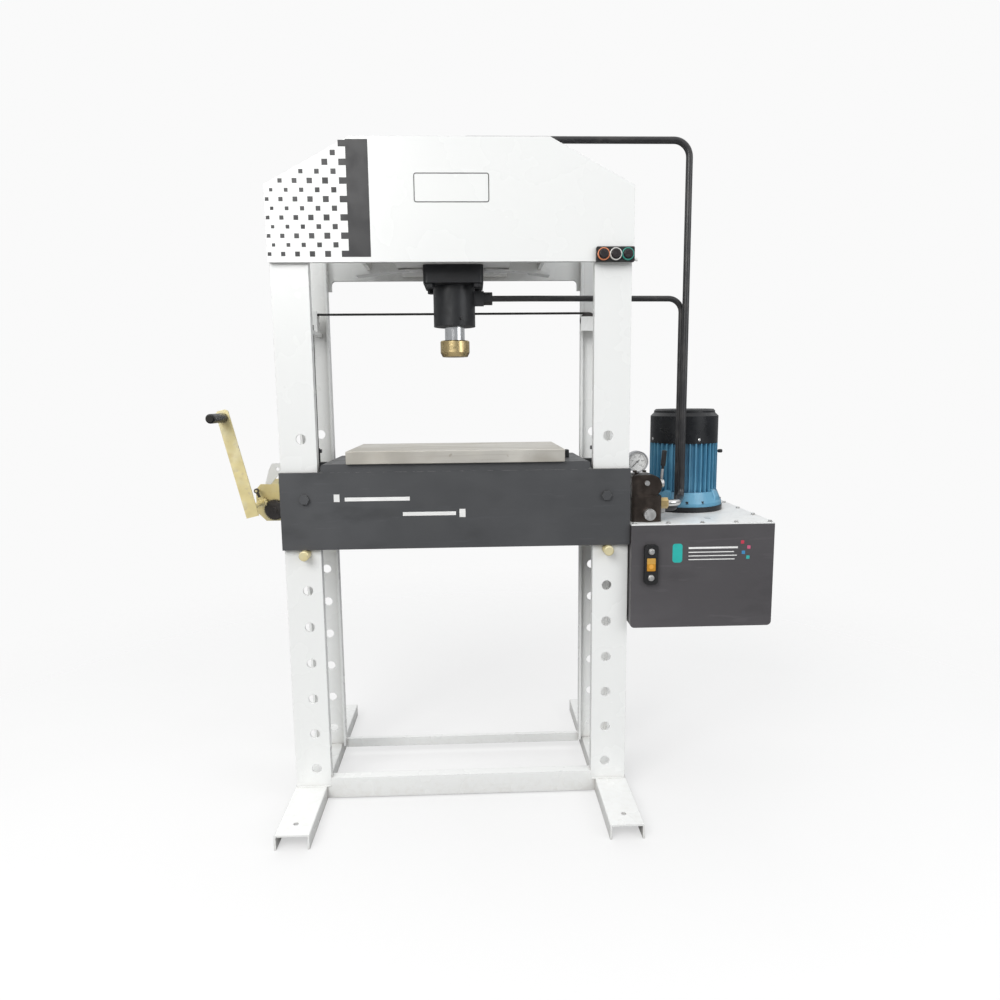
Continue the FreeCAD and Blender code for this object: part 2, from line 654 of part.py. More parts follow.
def bolster_plate():
    plate = box(-BOLSTER_HALF_WIDTH, BOLSTER_HALF_WIDTH, -BOLSTER_DEPTH / 2, BOLSTER_DEPTH / 2,
                BED_TABLE_Z, BOLSTER_TOP_Z)
    return plate.makeChamfer(1.5, plate.Edges)


def bed_bolts():
    """Hexagon bolts in the ends of both bed plates."""
    bolts = []
    for x in (-BED_BOLT_X, BED_BOLT_X):
        head = hex_prism(x, -BED_OUT_Y, BED_BOLT_Z, BED_BOLT_HEAD_AF, BED_BOLT_HEAD_T, -Y_AXIS)
        shank = rod(x, -BED_OUT_Y, BED_BOLT_Z, BED_BOLT_R, BED_PLATE_T, Y_AXIS)
        bolt = head.fuse(shank)
        bolts.append(bolt)
        bolts.append(mirror_y(bolt))
    return bolts


def bed_fittings():
    """Rope lugs with their clamps at the two ends of the bed, and a stop for the bolster."""
    pieces = []
    lug_t = 12.0
    inner = COLUMN_INNER_X - BED_END_GAP
    for fall_x, y in ((FALL_LEFT_X, ROPE_A_Y), (FALL_RIGHT_X, ROPE_B_Y)):
        side = 1 if fall_x > 0 else -1
        tip = abs(fall_x) + 14
        lug = box(inner, tip, y - 13, y + 13, BED_TOP_Z, BED_TOP_Z + lug_t)
        if side < 0:
            lug = mirror_x(lug)
        eye = rod(fall_x, y, BED_TOP_Z + lug_t, ROPE_R + 3, ROPE_END_Z - BED_TOP_Z - lug_t)
        clamp = box(fall_x - 12, fall_x + 12, y - 9, y + 9, ROPE_END_Z - 16, ROPE_END_Z - 4)
        pieces.append(lug.fuse(eye).fuse(clamp))
    stop_x = BOLSTER_HALF_WIDTH + 8
    stop = box(stop_x, stop_x + 28, -20, 26, BED_TABLE_Z, BED_TABLE_Z + 24)
    pieces.append(fillet_edges(stop, 6.0, edge_runs(Z_AXIS)))
    return pieces


def support_pin_right():
    length = FRAME_DEPTH - 2 * HEAD_PLATE_T + 2 * PIN_OVERHANG
    pin = rod(HOLE_X, -length / 2, PIN_Z, PIN_R, length, Y_AXIS)
    ends = [edge for edge in pin.Edges if edge.Curve.TypeId == "Part::GeomCircle"]
    return pin.makeChamfer(PIN_CHAMFER, ends)


# ---- hoist --------------------------------------------------------------------------------
def sheave(x, y):
    """Grooved rope wheel with a bore for its axle."""
    rim = SHEAVE_PITCH_R + SHEAVE_RIM
    half = SHEAVE_WIDTH / 2
    wheel = rod(x, y - half, SHEAVE_Z, rim, SHEAVE_WIDTH, Y_AXIS)
    groove = Part.makeTorus(SHEAVE_PITCH_R + 0.6, ROPE_R + BODY_GAP + 0.5, Vector(x, y, SHEAVE_Z), Y_AXIS)
    mouth = ring(x, y - ROPE_R - 1, SHEAVE_Z, rim + 1, SHEAVE_PITCH_R, 2 * ROPE_R + 2, Y_AXIS)
    bore = rod(x, y - half, SHEAVE_Z, AXLE_R + RUNNING_FIT, SHEAVE_WIDTH, Y_AXIS)
    return wheel.cut(groove).cut(mouth).cut(bore)


def sheave_left():
    """Two wheels with one common hub between them."""
    hub = ring(SHEAVE_LEFT_X, ROPE_A_Y, SHEAVE_Z, AXLE_R + 5, AXLE_R + RUNNING_FIT,
               ROPE_B_Y - ROPE_A_Y, Y_AXIS)
    return sheave(SHEAVE_LEFT_X, ROPE_A_Y).fuse(sheave(SHEAVE_LEFT_X, ROPE_B_Y)).fuse(hub)


def sheave_bracket(center_x, cheek_x, beam_x, first_y, last_y, cheek_z):
    """Beam across the column, and two cheeks and an axle that carry the sheaves.
    cheek_x and cheek_z are the cheeks' two sides, and beam_x is the beam's lower side."""
    beam_top = SHEAVE_Z - BRACKET_DROP
    web_in = WEB_Y - COLUMN_T
    shape = box(beam_x, beam_x + BRACKET_BEAM, -web_in, web_in, beam_top - BRACKET_BEAM, beam_top)
    front = first_y - SHEAVE_WIDTH / 2 - CHEEK_PLAY
    rear = last_y + SHEAVE_WIDTH / 2 + CHEEK_PLAY
    for y in (front - CHEEK_T, rear):
        leg = box(beam_x, beam_x + BRACKET_BEAM, y, y + CHEEK_T, beam_top, cheek_z[1])
        cheek = box(cheek_x[0], cheek_x[1], y, y + CHEEK_T, cheek_z[0], cheek_z[1])
        shape = shape.fuse(leg).fuse(cheek)
    axle = rod(center_x, front - CHEEK_T, SHEAVE_Z, AXLE_R, rear - front + 2 * CHEEK_T, Y_AXIS)
    return shape.fuse(axle).removeSplitter()


def outer_tangent(center_a, radius_a, center_b, radius_b):
    """Tangent points on the left of two circles in the XZ plane, from a up to b."""
    dx = center_b[0] - center_a[0]
    dz = center_b[1] - center_a[1]
    length = math.hypot(dx, dz)
    lean = math.asin((radius_a - radius_b) / length)
    heading = math.atan2(dz, dx)
    normal = heading + math.pi / 2 - lean
    nx = math.cos(normal)
    nz = math.sin(normal)
    return ((center_a[0] + radius_a * nx, center_a[1] + radius_a * nz),
            (center_b[0] + radius_b * nx, center_b[1] + radius_b * nz))


def arc_over(center_x, y, start_angle, end_angle):
    """Arc of the rope's centreline over a sheave, in degrees from +X."""
    def at(angle):
        turn = math.radians(angle)
        return Vector(center_x + SHEAVE_PITCH_R * math.cos(turn), y,
                      SHEAVE_Z + SHEAVE_PITCH_R * math.sin(turn))
    return Part.Arc(at(start_angle), at((start_angle + end_angle) / 2), at(end_angle)).toShape()


def rope_runs():
    """Two ropes from the winch: one over the left sheave, one across to the right sheave."""
    low, high = outer_tangent((DRUM_X, DRUM_Z), DRUM_PITCH_R,
                              (SHEAVE_LEFT_X, SHEAVE_Z), SHEAVE_PITCH_R)
    rise = math.degrees(math.atan2(high[1] - SHEAVE_Z, high[0] - SHEAVE_LEFT_X))
    near = [
        Part.LineSegment(Vector(low[0], ROPE_A_Y, low[1]),
                         Vector(high[0], ROPE_A_Y, high[1])).toShape(),
        arc_over(SHEAVE_LEFT_X, ROPE_A_Y, rise, 0),
    ]
    top = SHEAVE_Z + SHEAVE_PITCH_R
    far = [
        Part.LineSegment(Vector(low[0], ROPE_B_Y, low[1]),
                         Vector(high[0], ROPE_B_Y, high[1])).toShape(),
        arc_over(SHEAVE_LEFT_X, ROPE_B_Y, rise, 90),
        Part.LineSegment(Vector(SHEAVE_LEFT_X, ROPE_B_Y, top),
                         Vector(SHEAVE_RIGHT_X, ROPE_B_Y, top)).toShape(),
        arc_over(SHEAVE_RIGHT_X, ROPE_B_Y, 90, 0),
    ]
    return [swept_rod(Part.Wire(near), ROPE_R), swept_rod(Part.Wire(far), ROPE_R)]


def rope_fall(x, y):
    """Straight rope from a sheave down to the bed."""
    return rod(x, y, ROPE_END_Z, ROPE_R, SHEAVE_Z - ROPE_END_Z)


def winch_mount():
    """Plate on the column's outer side, with a drilled slanting lug at the front and rear."""
    plate_in = -COLUMN_OUTER_X
    plate_out = plate_in - WINCH_MOUNT_T
    reach = WEB_Y - 6
    plate = box(plate_out, plate_in, -reach, reach, WINCH_BOTTOM_Z, WINCH_TOP_Z + 12)
    outline = [
        (plate_in, WINCH_TOP_Z + 30), (plate_in, WINCH_TOP_Z + 68),
        (plate_in - 52, WINCH_TOP_Z + 68), (plate_in - 62, WINCH_TOP_Z + 54),
        (plate_in - 78, WINCH_TOP_Z), (plate_in - 60, WINCH_TOP_Z), (plate_in - 34, WINCH_TOP_Z + 30),
    ]
    pieces = [plate]
    for y in (WINCH_FRONT_Y, WINCH_REAR_Y - WINCH_PLATE_T):
        lug = plate_xz(outline, y, y + WINCH_PLATE_T)
        lug = lug.cut(rod(plate_in - 36, y, WINCH_TOP_Z + 49, 6.0, WINCH_PLATE_T, Y_AXIS))
        pieces.append(lug)
    return pieces


def winch_frame():
    """Base plate and two side plates, bored for the drum shaft and the pinion shaft."""
    base_right = -COLUMN_OUTER_X - WINCH_MOUNT_T
    base = box(base_right - WINCH_PLATE_T, base_right, WINCH_FRONT_Y, WINCH_REAR_Y,
               WINCH_BOTTOM_Z, WINCH_TOP_Z)
    outline = [
        (base_right - 2, WINCH_BOTTOM_Z), (base_right - 2, WINCH_TOP_Z),
        (WINCH_LEFT_X + 16, WINCH_TOP_Z), (WINCH_LEFT_X, WINCH_TOP_Z - 18),
        (WINCH_LEFT_X, WINCH_BOTTOM_Z + 30), (WINCH_LEFT_X + 30, WINCH_BOTTOM_Z),
    ]
    frame = base
    for y in (WINCH_FRONT_Y, WINCH_REAR_Y - WINCH_PLATE_T):
        frame = frame.fuse(plate_xz(outline, y, y + WINCH_PLATE_T))
    depth = WINCH_REAR_Y - WINCH_FRONT_Y
    frame = frame.cut(rod(DRUM_X, WINCH_FRONT_Y, DRUM_Z, DRUM_SHAFT_R + RUNNING_FIT, depth, Y_AXIS))
    frame = frame.cut(rod(PINION_X, WINCH_FRONT_Y, PINION_Z, PINION_SHAFT_R + RUNNING_FIT,
                          depth, Y_AXIS))
    pivot = rod(pawl_pivot()[0], WINCH_FRONT_Y, pawl_pivot()[1], 4.0,
                WINCH_FRONT_Y - RATCHET_REAR_Y + RATCHET_T + 3, -Y_AXIS)
    return frame.fuse(pivot).removeSplitter()


def involute(angle):
    return math.tan(angle) - angle


def gear_outline(teeth, phase):
    """Outline of an involute gear about the origin, as (x, z) points."""
    pitch_r = GEAR_MODULE * teeth / 2
    pressure = math.radians(20)
    base_r = pitch_r * math.cos(pressure)
    tip_r = pitch_r + 0.75 * GEAR_MODULE
    root_r = pitch_r - 1.1 * GEAR_MODULE
    half_tooth = math.pi / (2 * teeth) - GEAR_BACKLASH / (2 * pitch_r)
    flank = []
    steps = 4
    start_r = max(base_r, root_r)
    for step in range(steps + 1):
        radius = start_r + (tip_r - start_r) * step / steps
        spread = math.acos(min(1.0, base_r / radius))
        flank.append((radius, half_tooth + involute(pressure) - involute(spread)))
    if root_r < start_r:
        flank.insert(0, (root_r, flank[0][1]))
    points = []
    for tooth in range(teeth):
        center = phase + 2 * math.pi * tooth / teeth
        for radius, angle in flank:
            points.append((radius * math.cos(center - angle), radius * math.sin(center - angle)))
        for radius, angle in reversed(flank):
            points.append((radius * math.cos(center + angle), radius * math.sin(center + angle)))
    return points


def gear(teeth, x, z, phase):
    points = [(x + px, z + pz) for px, pz in gear_outline(teeth, phase)]
    return plate_xz(points, GEAR_FRONT_Y, GEAR_REAR_Y)


def winch_drum():
    """Rope drum on its shaft, with the gear in front of the frame's front plate."""
    side_gap = 2.0
    front = WINCH_FRONT_Y + WINCH_PLATE_T + side_gap
    rear = WINCH_REAR_Y - WINCH_PLATE_T - side_gap
    core_r = DRUM_PITCH_R - ROPE_R - BODY_GAP
    drum = rod(DRUM_X, front, DRUM_Z, core_r, rear - front, Y_AXIS)
    for y in (front, rear - DRUM_FLANGE_T):
        drum = drum.fuse(rod(DRUM_X, y, DRUM_Z, DRUM_FLANGE_R, DRUM_FLANGE_T, Y_AXIS))
    shaft = rod(DRUM_X, GEAR_FRONT_Y - 5, DRUM_Z, DRUM_SHAFT_R, WINCH_REAR_Y + 6 - GEAR_FRONT_Y + 5,
                Y_AXIS)
    toward_pinion = math.atan2(PINION_Z - DRUM_Z, PINION_X - DRUM_X)
    wheel = gear(GEAR_TEETH, DRUM_X, DRUM_Z, toward_pinion)
    return drum.fuse(shaft).fuse(wheel)


def rope_on_drum():
    """Wound turns of rope, as one sleeve of rope thickness between the two rope runs."""
    front = WINCH_FRONT_Y + WINCH_PLATE_T + 2 + DRUM_FLANGE_T
    inner = DRUM_PITCH_R - ROPE_R - BODY_GAP
    outer = DRUM_PITCH_R + ROPE_R
    length = ROPE_A_Y - ROPE_R - 0.5 - front
    return ring(DRUM_X, front, DRUM_Z, outer, inner, length, Y_AXIS)


def ratchet_outline():
    points = []
    for tooth in range(RATCHET_TEETH):
        start = 2 * math.pi * tooth / RATCHET_TEETH
        end = 2 * math.pi * (tooth + 1) / RATCHET_TEETH
        root = RATCHET_R * 0.78
        points.append((PINION_X + RATCHET_R * math.cos(start), PINION_Z + RATCHET_R * math.sin(start)))
        points.append((PINION_X + root * math.cos(end), PINION_Z + root * math.sin(end)))
    return points


def crank_top():
    """Direction from the pinion shaft to the grip, as (x, z)."""
    lean = math.radians(CRANK_LEAN_DEG)
    return (-math.sin(lean), math.cos(lean))


def crank():
    """Pinion shaft with its pinion and ratchet wheel, the flat arm, and the grip's spindle."""
    ux, uz = crank_top()
    shaft_rear = WINCH_FRONT_Y + WINCH_PLATE_T + 1
    shaft = rod(PINION_X, CRANK_FRONT_Y, PINION_Z, PINION_SHAFT_R, shaft_rear - CRANK_FRONT_Y, Y_AXIS)
    toward_gear = math.atan2(DRUM_Z - PINION_Z, DRUM_X - PINION_X)
    pinion = gear(PINION_TEETH, PINION_X, PINION_Z, toward_gear + math.pi / PINION_TEETH)
    ratchet = plate_xz(ratchet_outline(), RATCHET_REAR_Y - RATCHET_T, RATCHET_REAR_Y)
    half = CRANK_WIDTH / 2
    head = CRANK_LENGTH - CRANK_TAIL
    corners = [(-half, -CRANK_TAIL), (half, -CRANK_TAIL), (half, head - 6), (half - 8, head),
               (-half + 8, head), (-half, head - 6)]
    points = [(PINION_X + a * uz + b * ux, PINION_Z - a * ux + b * uz) for a, b in corners]
    arm = plate_xz(points, CRANK_FRONT_Y, CRANK_FRONT_Y + CRANK_T)
    gx, gz = grip_center()
    spindle = rod(gx, CRANK_FRONT_Y, gz, GRIP_BORE_R - RUNNING_FIT, GRIP_LENGTH + 4, -Y_AXIS)
    stop = rod(gx, CRANK_FRONT_Y - GRIP_LENGTH - 1, gz, GRIP_BORE_R + 4, 3, -Y_AXIS)
    return shaft.fuse(pinion).fuse(ratchet).fuse(arm).fuse(spindle).fuse(stop)


def grip_center():
    ux, uz = crank_top()
    return (PINION_X + CRANK_ARM * ux, PINION_Z + CRANK_ARM * uz)


def crank_grip():
    gx, gz = grip_center()
    grip = rod(gx, CRANK_FRONT_Y - 0.5, gz, GRIP_R, GRIP_LENGTH - 0.5, -Y_AXIS)
    rims = [edge for edge in grip.Edges if edge.Curve.TypeId == "Part::GeomCircle"]
    grip = grip.makeFillet(3.0, rims)
    return grip.cut(rod(gx, CRANK_FRONT_Y + 1, gz, GRIP_BORE_R, GRIP_LENGTH + 4, -Y_AXIS))


def pawl_pivot():
    return (PINION_X - 16, PINION_Z + 38)


def pawl():
    """Finger that hangs from its pin and rests just clear of the ratchet teeth."""
    px, pz = pawl_pivot()
    dx = PINION_X - px
    dz = PINION_Z - pz
    distance = math.hypot(dx, dz)
    ux = dx / distance
    uz = dz / distance
    reach = distance - RATCHET_R - 0.5
    corners = [(-4, 0), (4, 0), (3, reach), (-3, reach)]
    points = [(px + a * uz + b * ux, pz - a * ux + b * uz) for a, b in corners]
    rear = RATCHET_REAR_Y
    arm = plate_xz(points, rear - RATCHET_T, rear)
    boss = rod(px, rear - RATCHET_T, pz, 8.0, RATCHET_T, Y_AXIS)
    bore = rod(px, rear - RATCHET_T, pz, 4.0 + RUNNING_FIT, RATCHET_T, Y_AXIS)
    return arm.fuse(boss).cut(bore)


# ---- power pack ------------------------------------------------------------------------------
def tank_body():
    """Open-topped welded tank, folded up at its sides, with the strip that bolts it to the column."""
    def bottom_edge(edge):
        return edge_runs(Y_AXIS)(edge) and edge.Vertexes[0].Point.z < TANK_BOTTOM_Z + 2 * TANK_WALL

    outer = box(TANK_LEFT_X, TANK_RIGHT_X, TANK_FRONT_Y, TANK_REAR_Y, TANK_BOTTOM_Z, TANK_BODY_TOP_Z)
    outer = fillet_edges(outer, TANK_CORNER_R, bottom_edge)
    inner = box(TANK_LEFT_X + TANK_WALL, TANK_RIGHT_X - TANK_WALL, TANK_FRONT_Y + TANK_WALL,
                TANK_REAR_Y - TANK_WALL, TANK_BOTTOM_Z + TANK_WALL, TANK_BODY_TOP_Z)
    inner = fillet_edges(inner, TANK_CORNER_R - TANK_WALL, bottom_edge)
    strip = box(COLUMN_OUTER_X, TANK_LEFT_X, -WEB_Y + 6, WEB_Y - 6, TANK_BOTTOM_Z + 30,
                TANK_BODY_TOP_Z - 20)
    return outer.cut(inner).fuse(strip)


def tank_lid():
    lid = box(TANK_LEFT_X, TANK_RIGHT_X, TANK_FRONT_Y, TANK_REAR_Y, TANK_BODY_TOP_Z, TANK_TOP_Z)
    return lid.cut(rod(MOTOR_X, MOTOR_Y, TANK_BODY_TOP_Z, BELL_R + RUNNING_FIT, TANK_LID_T))


def tank_fittings():
    """Filler breather on the lid and drain plug low on the right side."""
    bx = TANK_LEFT_X + 90
    by = TANK_REAR_Y - 110
    neck = rod(bx, by, TANK_TOP_Z, 20, 18)
    cap = rod(bx, by, TANK_TOP_Z + 18, 33, 26)
    drain = hex_prism(TANK_RIGHT_X, TANK_FRONT_Y + TANK_DEPTH / 2, TANK_BOTTOM_Z + 40, 27, 12, X_AXIS)
    return [neck.fuse(cap), drain]


def pump_unit():
    """Bell housing under the lid, pump body and suction strainer, inside the tank."""
    pump_top = TANK_BODY_TOP_Z - 130
    bell = ring(MOTOR_X, MOTOR_Y, pump_top, BELL_R, BELL_R - 10, TANK_TOP_Z - pump_top)
    body = rod(MOTOR_X, MOTOR_Y, pump_top - 90, BELL_R, 90)
    body = body.cut(rod(MOTOR_X, MOTOR_Y, pump_top - 60, MOTOR_SHAFT_R + RUNNING_FIT, 60))
    strainer = rod(MOTOR_X, MOTOR_Y, TANK_BOTTOM_Z + 20, 32, pump_top - 90 - TANK_BOTTOM_Z - 20)
    return bell.fuse(body).fuse(strainer)


def motor_adapter():
    return ring(MOTOR_X, MOTOR_Y, TANK_TOP_Z, ADAPTER_R, BELL_R - 10, ADAPTER_T)


def fin_outline():
    """Outline of the finned motor frame about its axis."""
    points = []
    pitch = 2 * math.pi / MOTOR_FINS
    half = MOTOR_FIN_T / 2
    for index in range(MOTOR_FINS):
        center = pitch * (index + 0.5)
        for radius, side in ((MOTOR_CORE_R, -1), (MOTOR_FIN_R, -1), (MOTOR_FIN_R, 1),
                             (MOTOR_CORE_R, 1)):
            angle = center + side * math.asin(half / radius)
            points.append((MOTOR_X + radius * math.cos(angle), MOTOR_Y + radius * math.sin(angle)))
    return points


def motor_body():
    """Flanged and finned motor frame, hollow for the rotor, with two shaft bearings."""
    flange_z = TANK_TOP_Z + ADAPTER_T
    rim_z = flange_z + MOTOR_FLANGE_T
    frame_z = rim_z + MOTOR_FLARE_HEIGHT
    base = revolve([(0, flange_z), (MOTOR_FLANGE_R, flange_z), (MOTOR_FLANGE_R, rim_z),
                    (MOTOR_FIN_R + 2, frame_z), (0, frame_z)], MOTOR_X, MOTOR_Y)
    body = base.fuse(column_prism(fin_outline(), frame_z, MOTOR_TOP_Z))
    end_wall = 30.0
    cavity = rod(MOTOR_X, MOTOR_Y, frame_z, ROTOR_R + 1, MOTOR_TOP_Z - end_wall - frame_z)
    bearing = rod(MOTOR_X, MOTOR_Y, flange_z, MOTOR_SHAFT_R + RUNNING_FIT, MOTOR_TOP_Z - flange_z)
    return body.cut(cavity).cut(bearing)


def fan_cover():
    """Cowl over the fan: a stepped cap with rings of air slots."""
    step = 12.0
    outer = MOTOR_FIN_R
    profile = [
        (outer, MOTOR_TOP_Z), (outer, COWL_TOP_Z - 2 * step), (outer - step, COWL_TOP_Z - step),
        (outer - step, COWL_TOP_Z - step / 2), (outer - 1.5 * step, COWL_TOP_Z), (0, COWL_TOP_Z),
        (0, COWL_TOP_Z - COWL_T), (outer - 1.5 * step - COWL_T, COWL_TOP_Z - COWL_T),
        (outer - step - COWL_T, COWL_TOP_Z - step / 2 - COWL_T),
        (outer - step - COWL_T, COWL_TOP_Z - step - COWL_T),
        (outer - COWL_T, COWL_TOP_Z - 2 * step - COWL_T), (outer - COWL_T, MOTOR_TOP_Z),
    ]
    cover = revolve(profile, MOTOR_X, MOTOR_Y)
    slots = []
    for radius, count in ((30, 8), (52, 14), (74, 20)):
        for index in range(count):
            angle = 2 * math.pi * index / count
            slots.append(rod(MOTOR_X + radius * math.cos(angle), MOTOR_Y + radius * math.sin(angle),
                             COWL_TOP_Z - COWL_T - 1, 5.0, COWL_T + 2))
    return cover.cut(Part.makeCompound(slots))


def motor_rotor():
    """Shaft from the pump to the fan, with the rotor core, a coupling and the fan."""
    pump_top = TANK_BODY_TOP_Z - 130
    low = pump_top - 50
    frame_z = TANK_TOP_Z + ADAPTER_T + MOTOR_FLANGE_T + MOTOR_FLARE_HEIGHT
    shaft = rod(MOTOR_X, MOTOR_Y, low, MOTOR_SHAFT_R, COWL_TOP_Z - 30 - low)
    core = rod(MOTOR_X, MOTOR_Y, frame_z + 8, ROTOR_R, MOTOR_TOP_Z - 46 - frame_z)
    coupling = rod(MOTOR_X, MOTOR_Y, pump_top + 20, BELL_R / 2, 60)
    hub = rod(MOTOR_X, MOTOR_Y, MOTOR_TOP_Z + 20, 32, 30)
    rotor = shaft.fuse(core).fuse(coupling).fuse(hub)
    for index in range(8):
        blade = box(28, 96, -2, 2, MOTOR_TOP_Z + 12, MOTOR_TOP_Z + 62)
        blade.rotate(Vector(0, 0, 0), Z_AXIS, 45 * index)
        blade.translate(Vector(MOTOR_X, MOTOR_Y, 0))
        rotor = rotor.fuse(blade)
    return rotor


def terminal_box():
    """Connection box on the rear of the motor, with its cable gland to the right."""
    y0 = MOTOR_Y + MOTOR_CORE_R - 2
    z0 = TANK_TOP_Z + 130
    case = box(MOTOR_X - 55, MOTOR_X + 55, y0 + 16, y0 + 68, z0, z0 + 100)
    case = fillet_edges(case, 8.0, edge_runs(Y_AXIS))
    neck = box(MOTOR_X - 30, MOTOR_X + 30, y0 + 16, y0 + 17, z0 + 20, z0 + 80)
    gland = rod(MOTOR_X + 55, y0 + 42, z0 + 70, 11, 26, X_AXIS)
    return case.fuse(neck).fuse(gland)


def valve_body():
    """Manifold on the lid with the hand-lever valve above it, its plugs and the gauge stem."""
    block = box(VALVE_LEFT_X, VALVE_RIGHT_X, VALVE_FRONT_Y, VALVE_REAR_Y, TANK_TOP_Z, VALVE_STEP_Z)
    block = fillet_edges(block, 12.0, edge_runs(Z_AXIS))
    depth = VALVE_REAR_Y - VALVE_FRONT_Y
    upper = box(VALVE_LEFT_X, SPOOL_HOUSING_X, VALVE_FRONT_Y + 4, VALVE_REAR_Y, VALVE_STEP_Z - 8,
                VALVE_TOP_Z)
    upper = fillet_edges(upper, 8.0, edge_runs(Y_AXIS))
    center_z = VALVE_TOP_Z - SPOOL_HOUSING_R
    housing = rod(SPOOL_HOUSING_X, VALVE_FRONT_Y + 4, center_z, SPOOL_HOUSING_R, depth - 4, Y_AXIS)
    saddle = box(SPOOL_HOUSING_X - 22, SPOOL_HOUSING_X + 22, VALVE_FRONT_Y + 14, VALVE_REAR_Y,
                 VALVE_STEP_Z - 8, center_z)
    shell = block.fuse(upper).fuse(housing).fuse(saddle)
    stem = rod(GAUGE_X, GAUGE_Y, VALVE_TOP_Z - 4, 7, GAUGE_Z - GAUGE_R - VALVE_TOP_Z + 8)
    spigot_x = SPOOL_HOUSING_X + SPOOL_HOUSING_R
    spigot = rod(spigot_x - 4, LEVER_Y, LEVER_Z, 5.0, 20, X_AXIS)
    return shell.fuse(stem).fuse(spigot).removeSplitter()


def valve_fittings():
    """Front lock nut, front plug, and the union nuts on the valve's right side."""
    nut = rod(VALVE_LEFT_X + 56, VALVE_FRONT_Y, TANK_TOP_Z + 26, 19, 16, -Y_AXIS)
    plug = rod(SPOOL_HOUSING_X - 14, VALVE_FRONT_Y + 4, VALVE_TOP_Z - 26, 8, 8, -Y_AXIS)
    upper = hex_prism(VALVE_RIGHT_X, valve_port(0).y, valve_port(0).z, 32, 24, X_AXIS)
    lower = hex_prism(VALVE_RIGHT_X, valve_port(1).y, valve_port(1).z, 30, 24, X_AXIS)
    return [nut, plug, upper, lower]


def valve_port(index):
    """Centre of a union's outer end on the right side of the manifold."""
    return (Vector(VALVE_RIGHT_X + 24, -122, TANK_TOP_Z + 58),
            Vector(VALVE_RIGHT_X + 24, -82, TANK_TOP_Z + 34))[index]


def valve_lever():
    """Hand lever: hub, rod and grip."""
    hub_x = SPOOL_HOUSING_X + SPOOL_HOUSING_R + BODY_GAP
    hub = rod(hub_x, LEVER_Y, LEVER_Z, LEVER_HUB_R, 14, X_AXIS)
    hub = hub.cut(rod(hub_x, LEVER_Y, LEVER_Z, 5.0 + RUNNING_FIT, 17, X_AXIS))
    tilt = math.radians(LEVER_TILT_DEG)
    along = Vector(math.sin(tilt), 0, math.cos(tilt))
    base = Vector(hub_x + 7, LEVER_Y, LEVER_Z + LEVER_HUB_R - 4)
    stick = Part.makeCylinder(4.5, LEVER_LENGTH - 20, base, along)
    grip_base = base.add(Vector(along).multiply(48))
    grip = Part.makeCylinder(8.0, LEVER_LENGTH - 56, grip_base, along)
    rims = [edge for edge in grip.Edges if edge.Curve.TypeId == "Part::GeomCircle"]
    return hub.fuse(stick).fuse(grip.makeFillet(3.0, rims))


def gauge_case():
    """Round pressure gauge case, open to the front for the dial and needle."""
    case = rod(GAUGE_X, GAUGE_Y - GAUGE_DEPTH / 2, GAUGE_Z, GAUGE_R, GAUGE_DEPTH, Y_AXIS)
    dial_depth = 9.0
    case = case.cut(rod(GAUGE_X, GAUGE_Y - GAUGE_DEPTH / 2, GAUGE_Z, GAUGE_R - 3.5, dial_depth, Y_AXIS))
    arbor = rod(GAUGE_X, GAUGE_Y - GAUGE_DEPTH / 2 + 3, GAUGE_Z, 1.2, dial_depth - 3, Y_AXIS)
    case = case.fuse(arbor)
    return case.cut(rod(GAUGE_X, GAUGE_Y, GAUGE_Z - GAUGE_R, 7, 4, Z_AXIS))


def gauge_needle():
    """Pointer on the gauge arbor, at rest against the low end of the scale."""
    y = GAUGE_Y - GAUGE_DEPTH / 2 + 4
    hub = rod(GAUGE_X, y, GAUGE_Z, 3.5, 1.6, Y_AXIS)
    blade = box(GAUGE_X - 1.1, GAUGE_X + 1.1, y, y + 1.2, GAUGE_Z - 9, GAUGE_Z + 24)
    needle = hub.fuse(blade)
    needle = needle.cut(rod(GAUGE_X, y - 1, GAUGE_Z, 1.2 + RUNNING_FIT, 4, Y_AXIS))
    needle.rotate(Vector(GAUGE_X, 0, GAUGE_Z), Y_AXIS, -135)
    return needle


def level_gauge():
    """Oil level gauge on the tank front, with a window recess."""
    y1 = TANK_FRONT_Y
    body = box(LEVEL_X - LEVEL_WIDTH / 2, LEVEL_X + LEVEL_WIDTH / 2, y1 - LEVEL_DEPTH, y1,
               LEVEL_Z - LEVEL_HEIGHT / 2, LEVEL_Z + LEVEL_HEIGHT / 2)
    body = fillet_edges(body, 10.0, edge_runs(Y_AXIS))
    return body.cut(box(LEVEL_X - 15, LEVEL_X + 15, y1 - LEVEL_DEPTH, y1 - LEVEL_DEPTH + 5,
                        LEVEL_Z - 22, LEVEL_Z + 22))


def pipe_upper():
    """Tube from the closed end of the cylinder, over the head and down to the valve."""
    end = valve_port(0)
    points = [
        Vector(0, 0, BARREL_TOP_Z + UNION_LENGTH), Vector(0, 0, PIPE_TOP_Z),
        Vector(PIPE_UPPER_X, 0, PIPE_TOP_Z), Vector(PIPE_UPPER_X, 0, end.z),
        Vector(end.x + PIPE_STUB, end.y, end.z), end,
    ]
    bends = [PIPE_UPPER_BEND, PIPE_UPPER_BEND, PIPE_END_BEND, PIPE_END_BEND]
    return swept_rod(bent_path(points, bends), PIPE_UPPER_R)


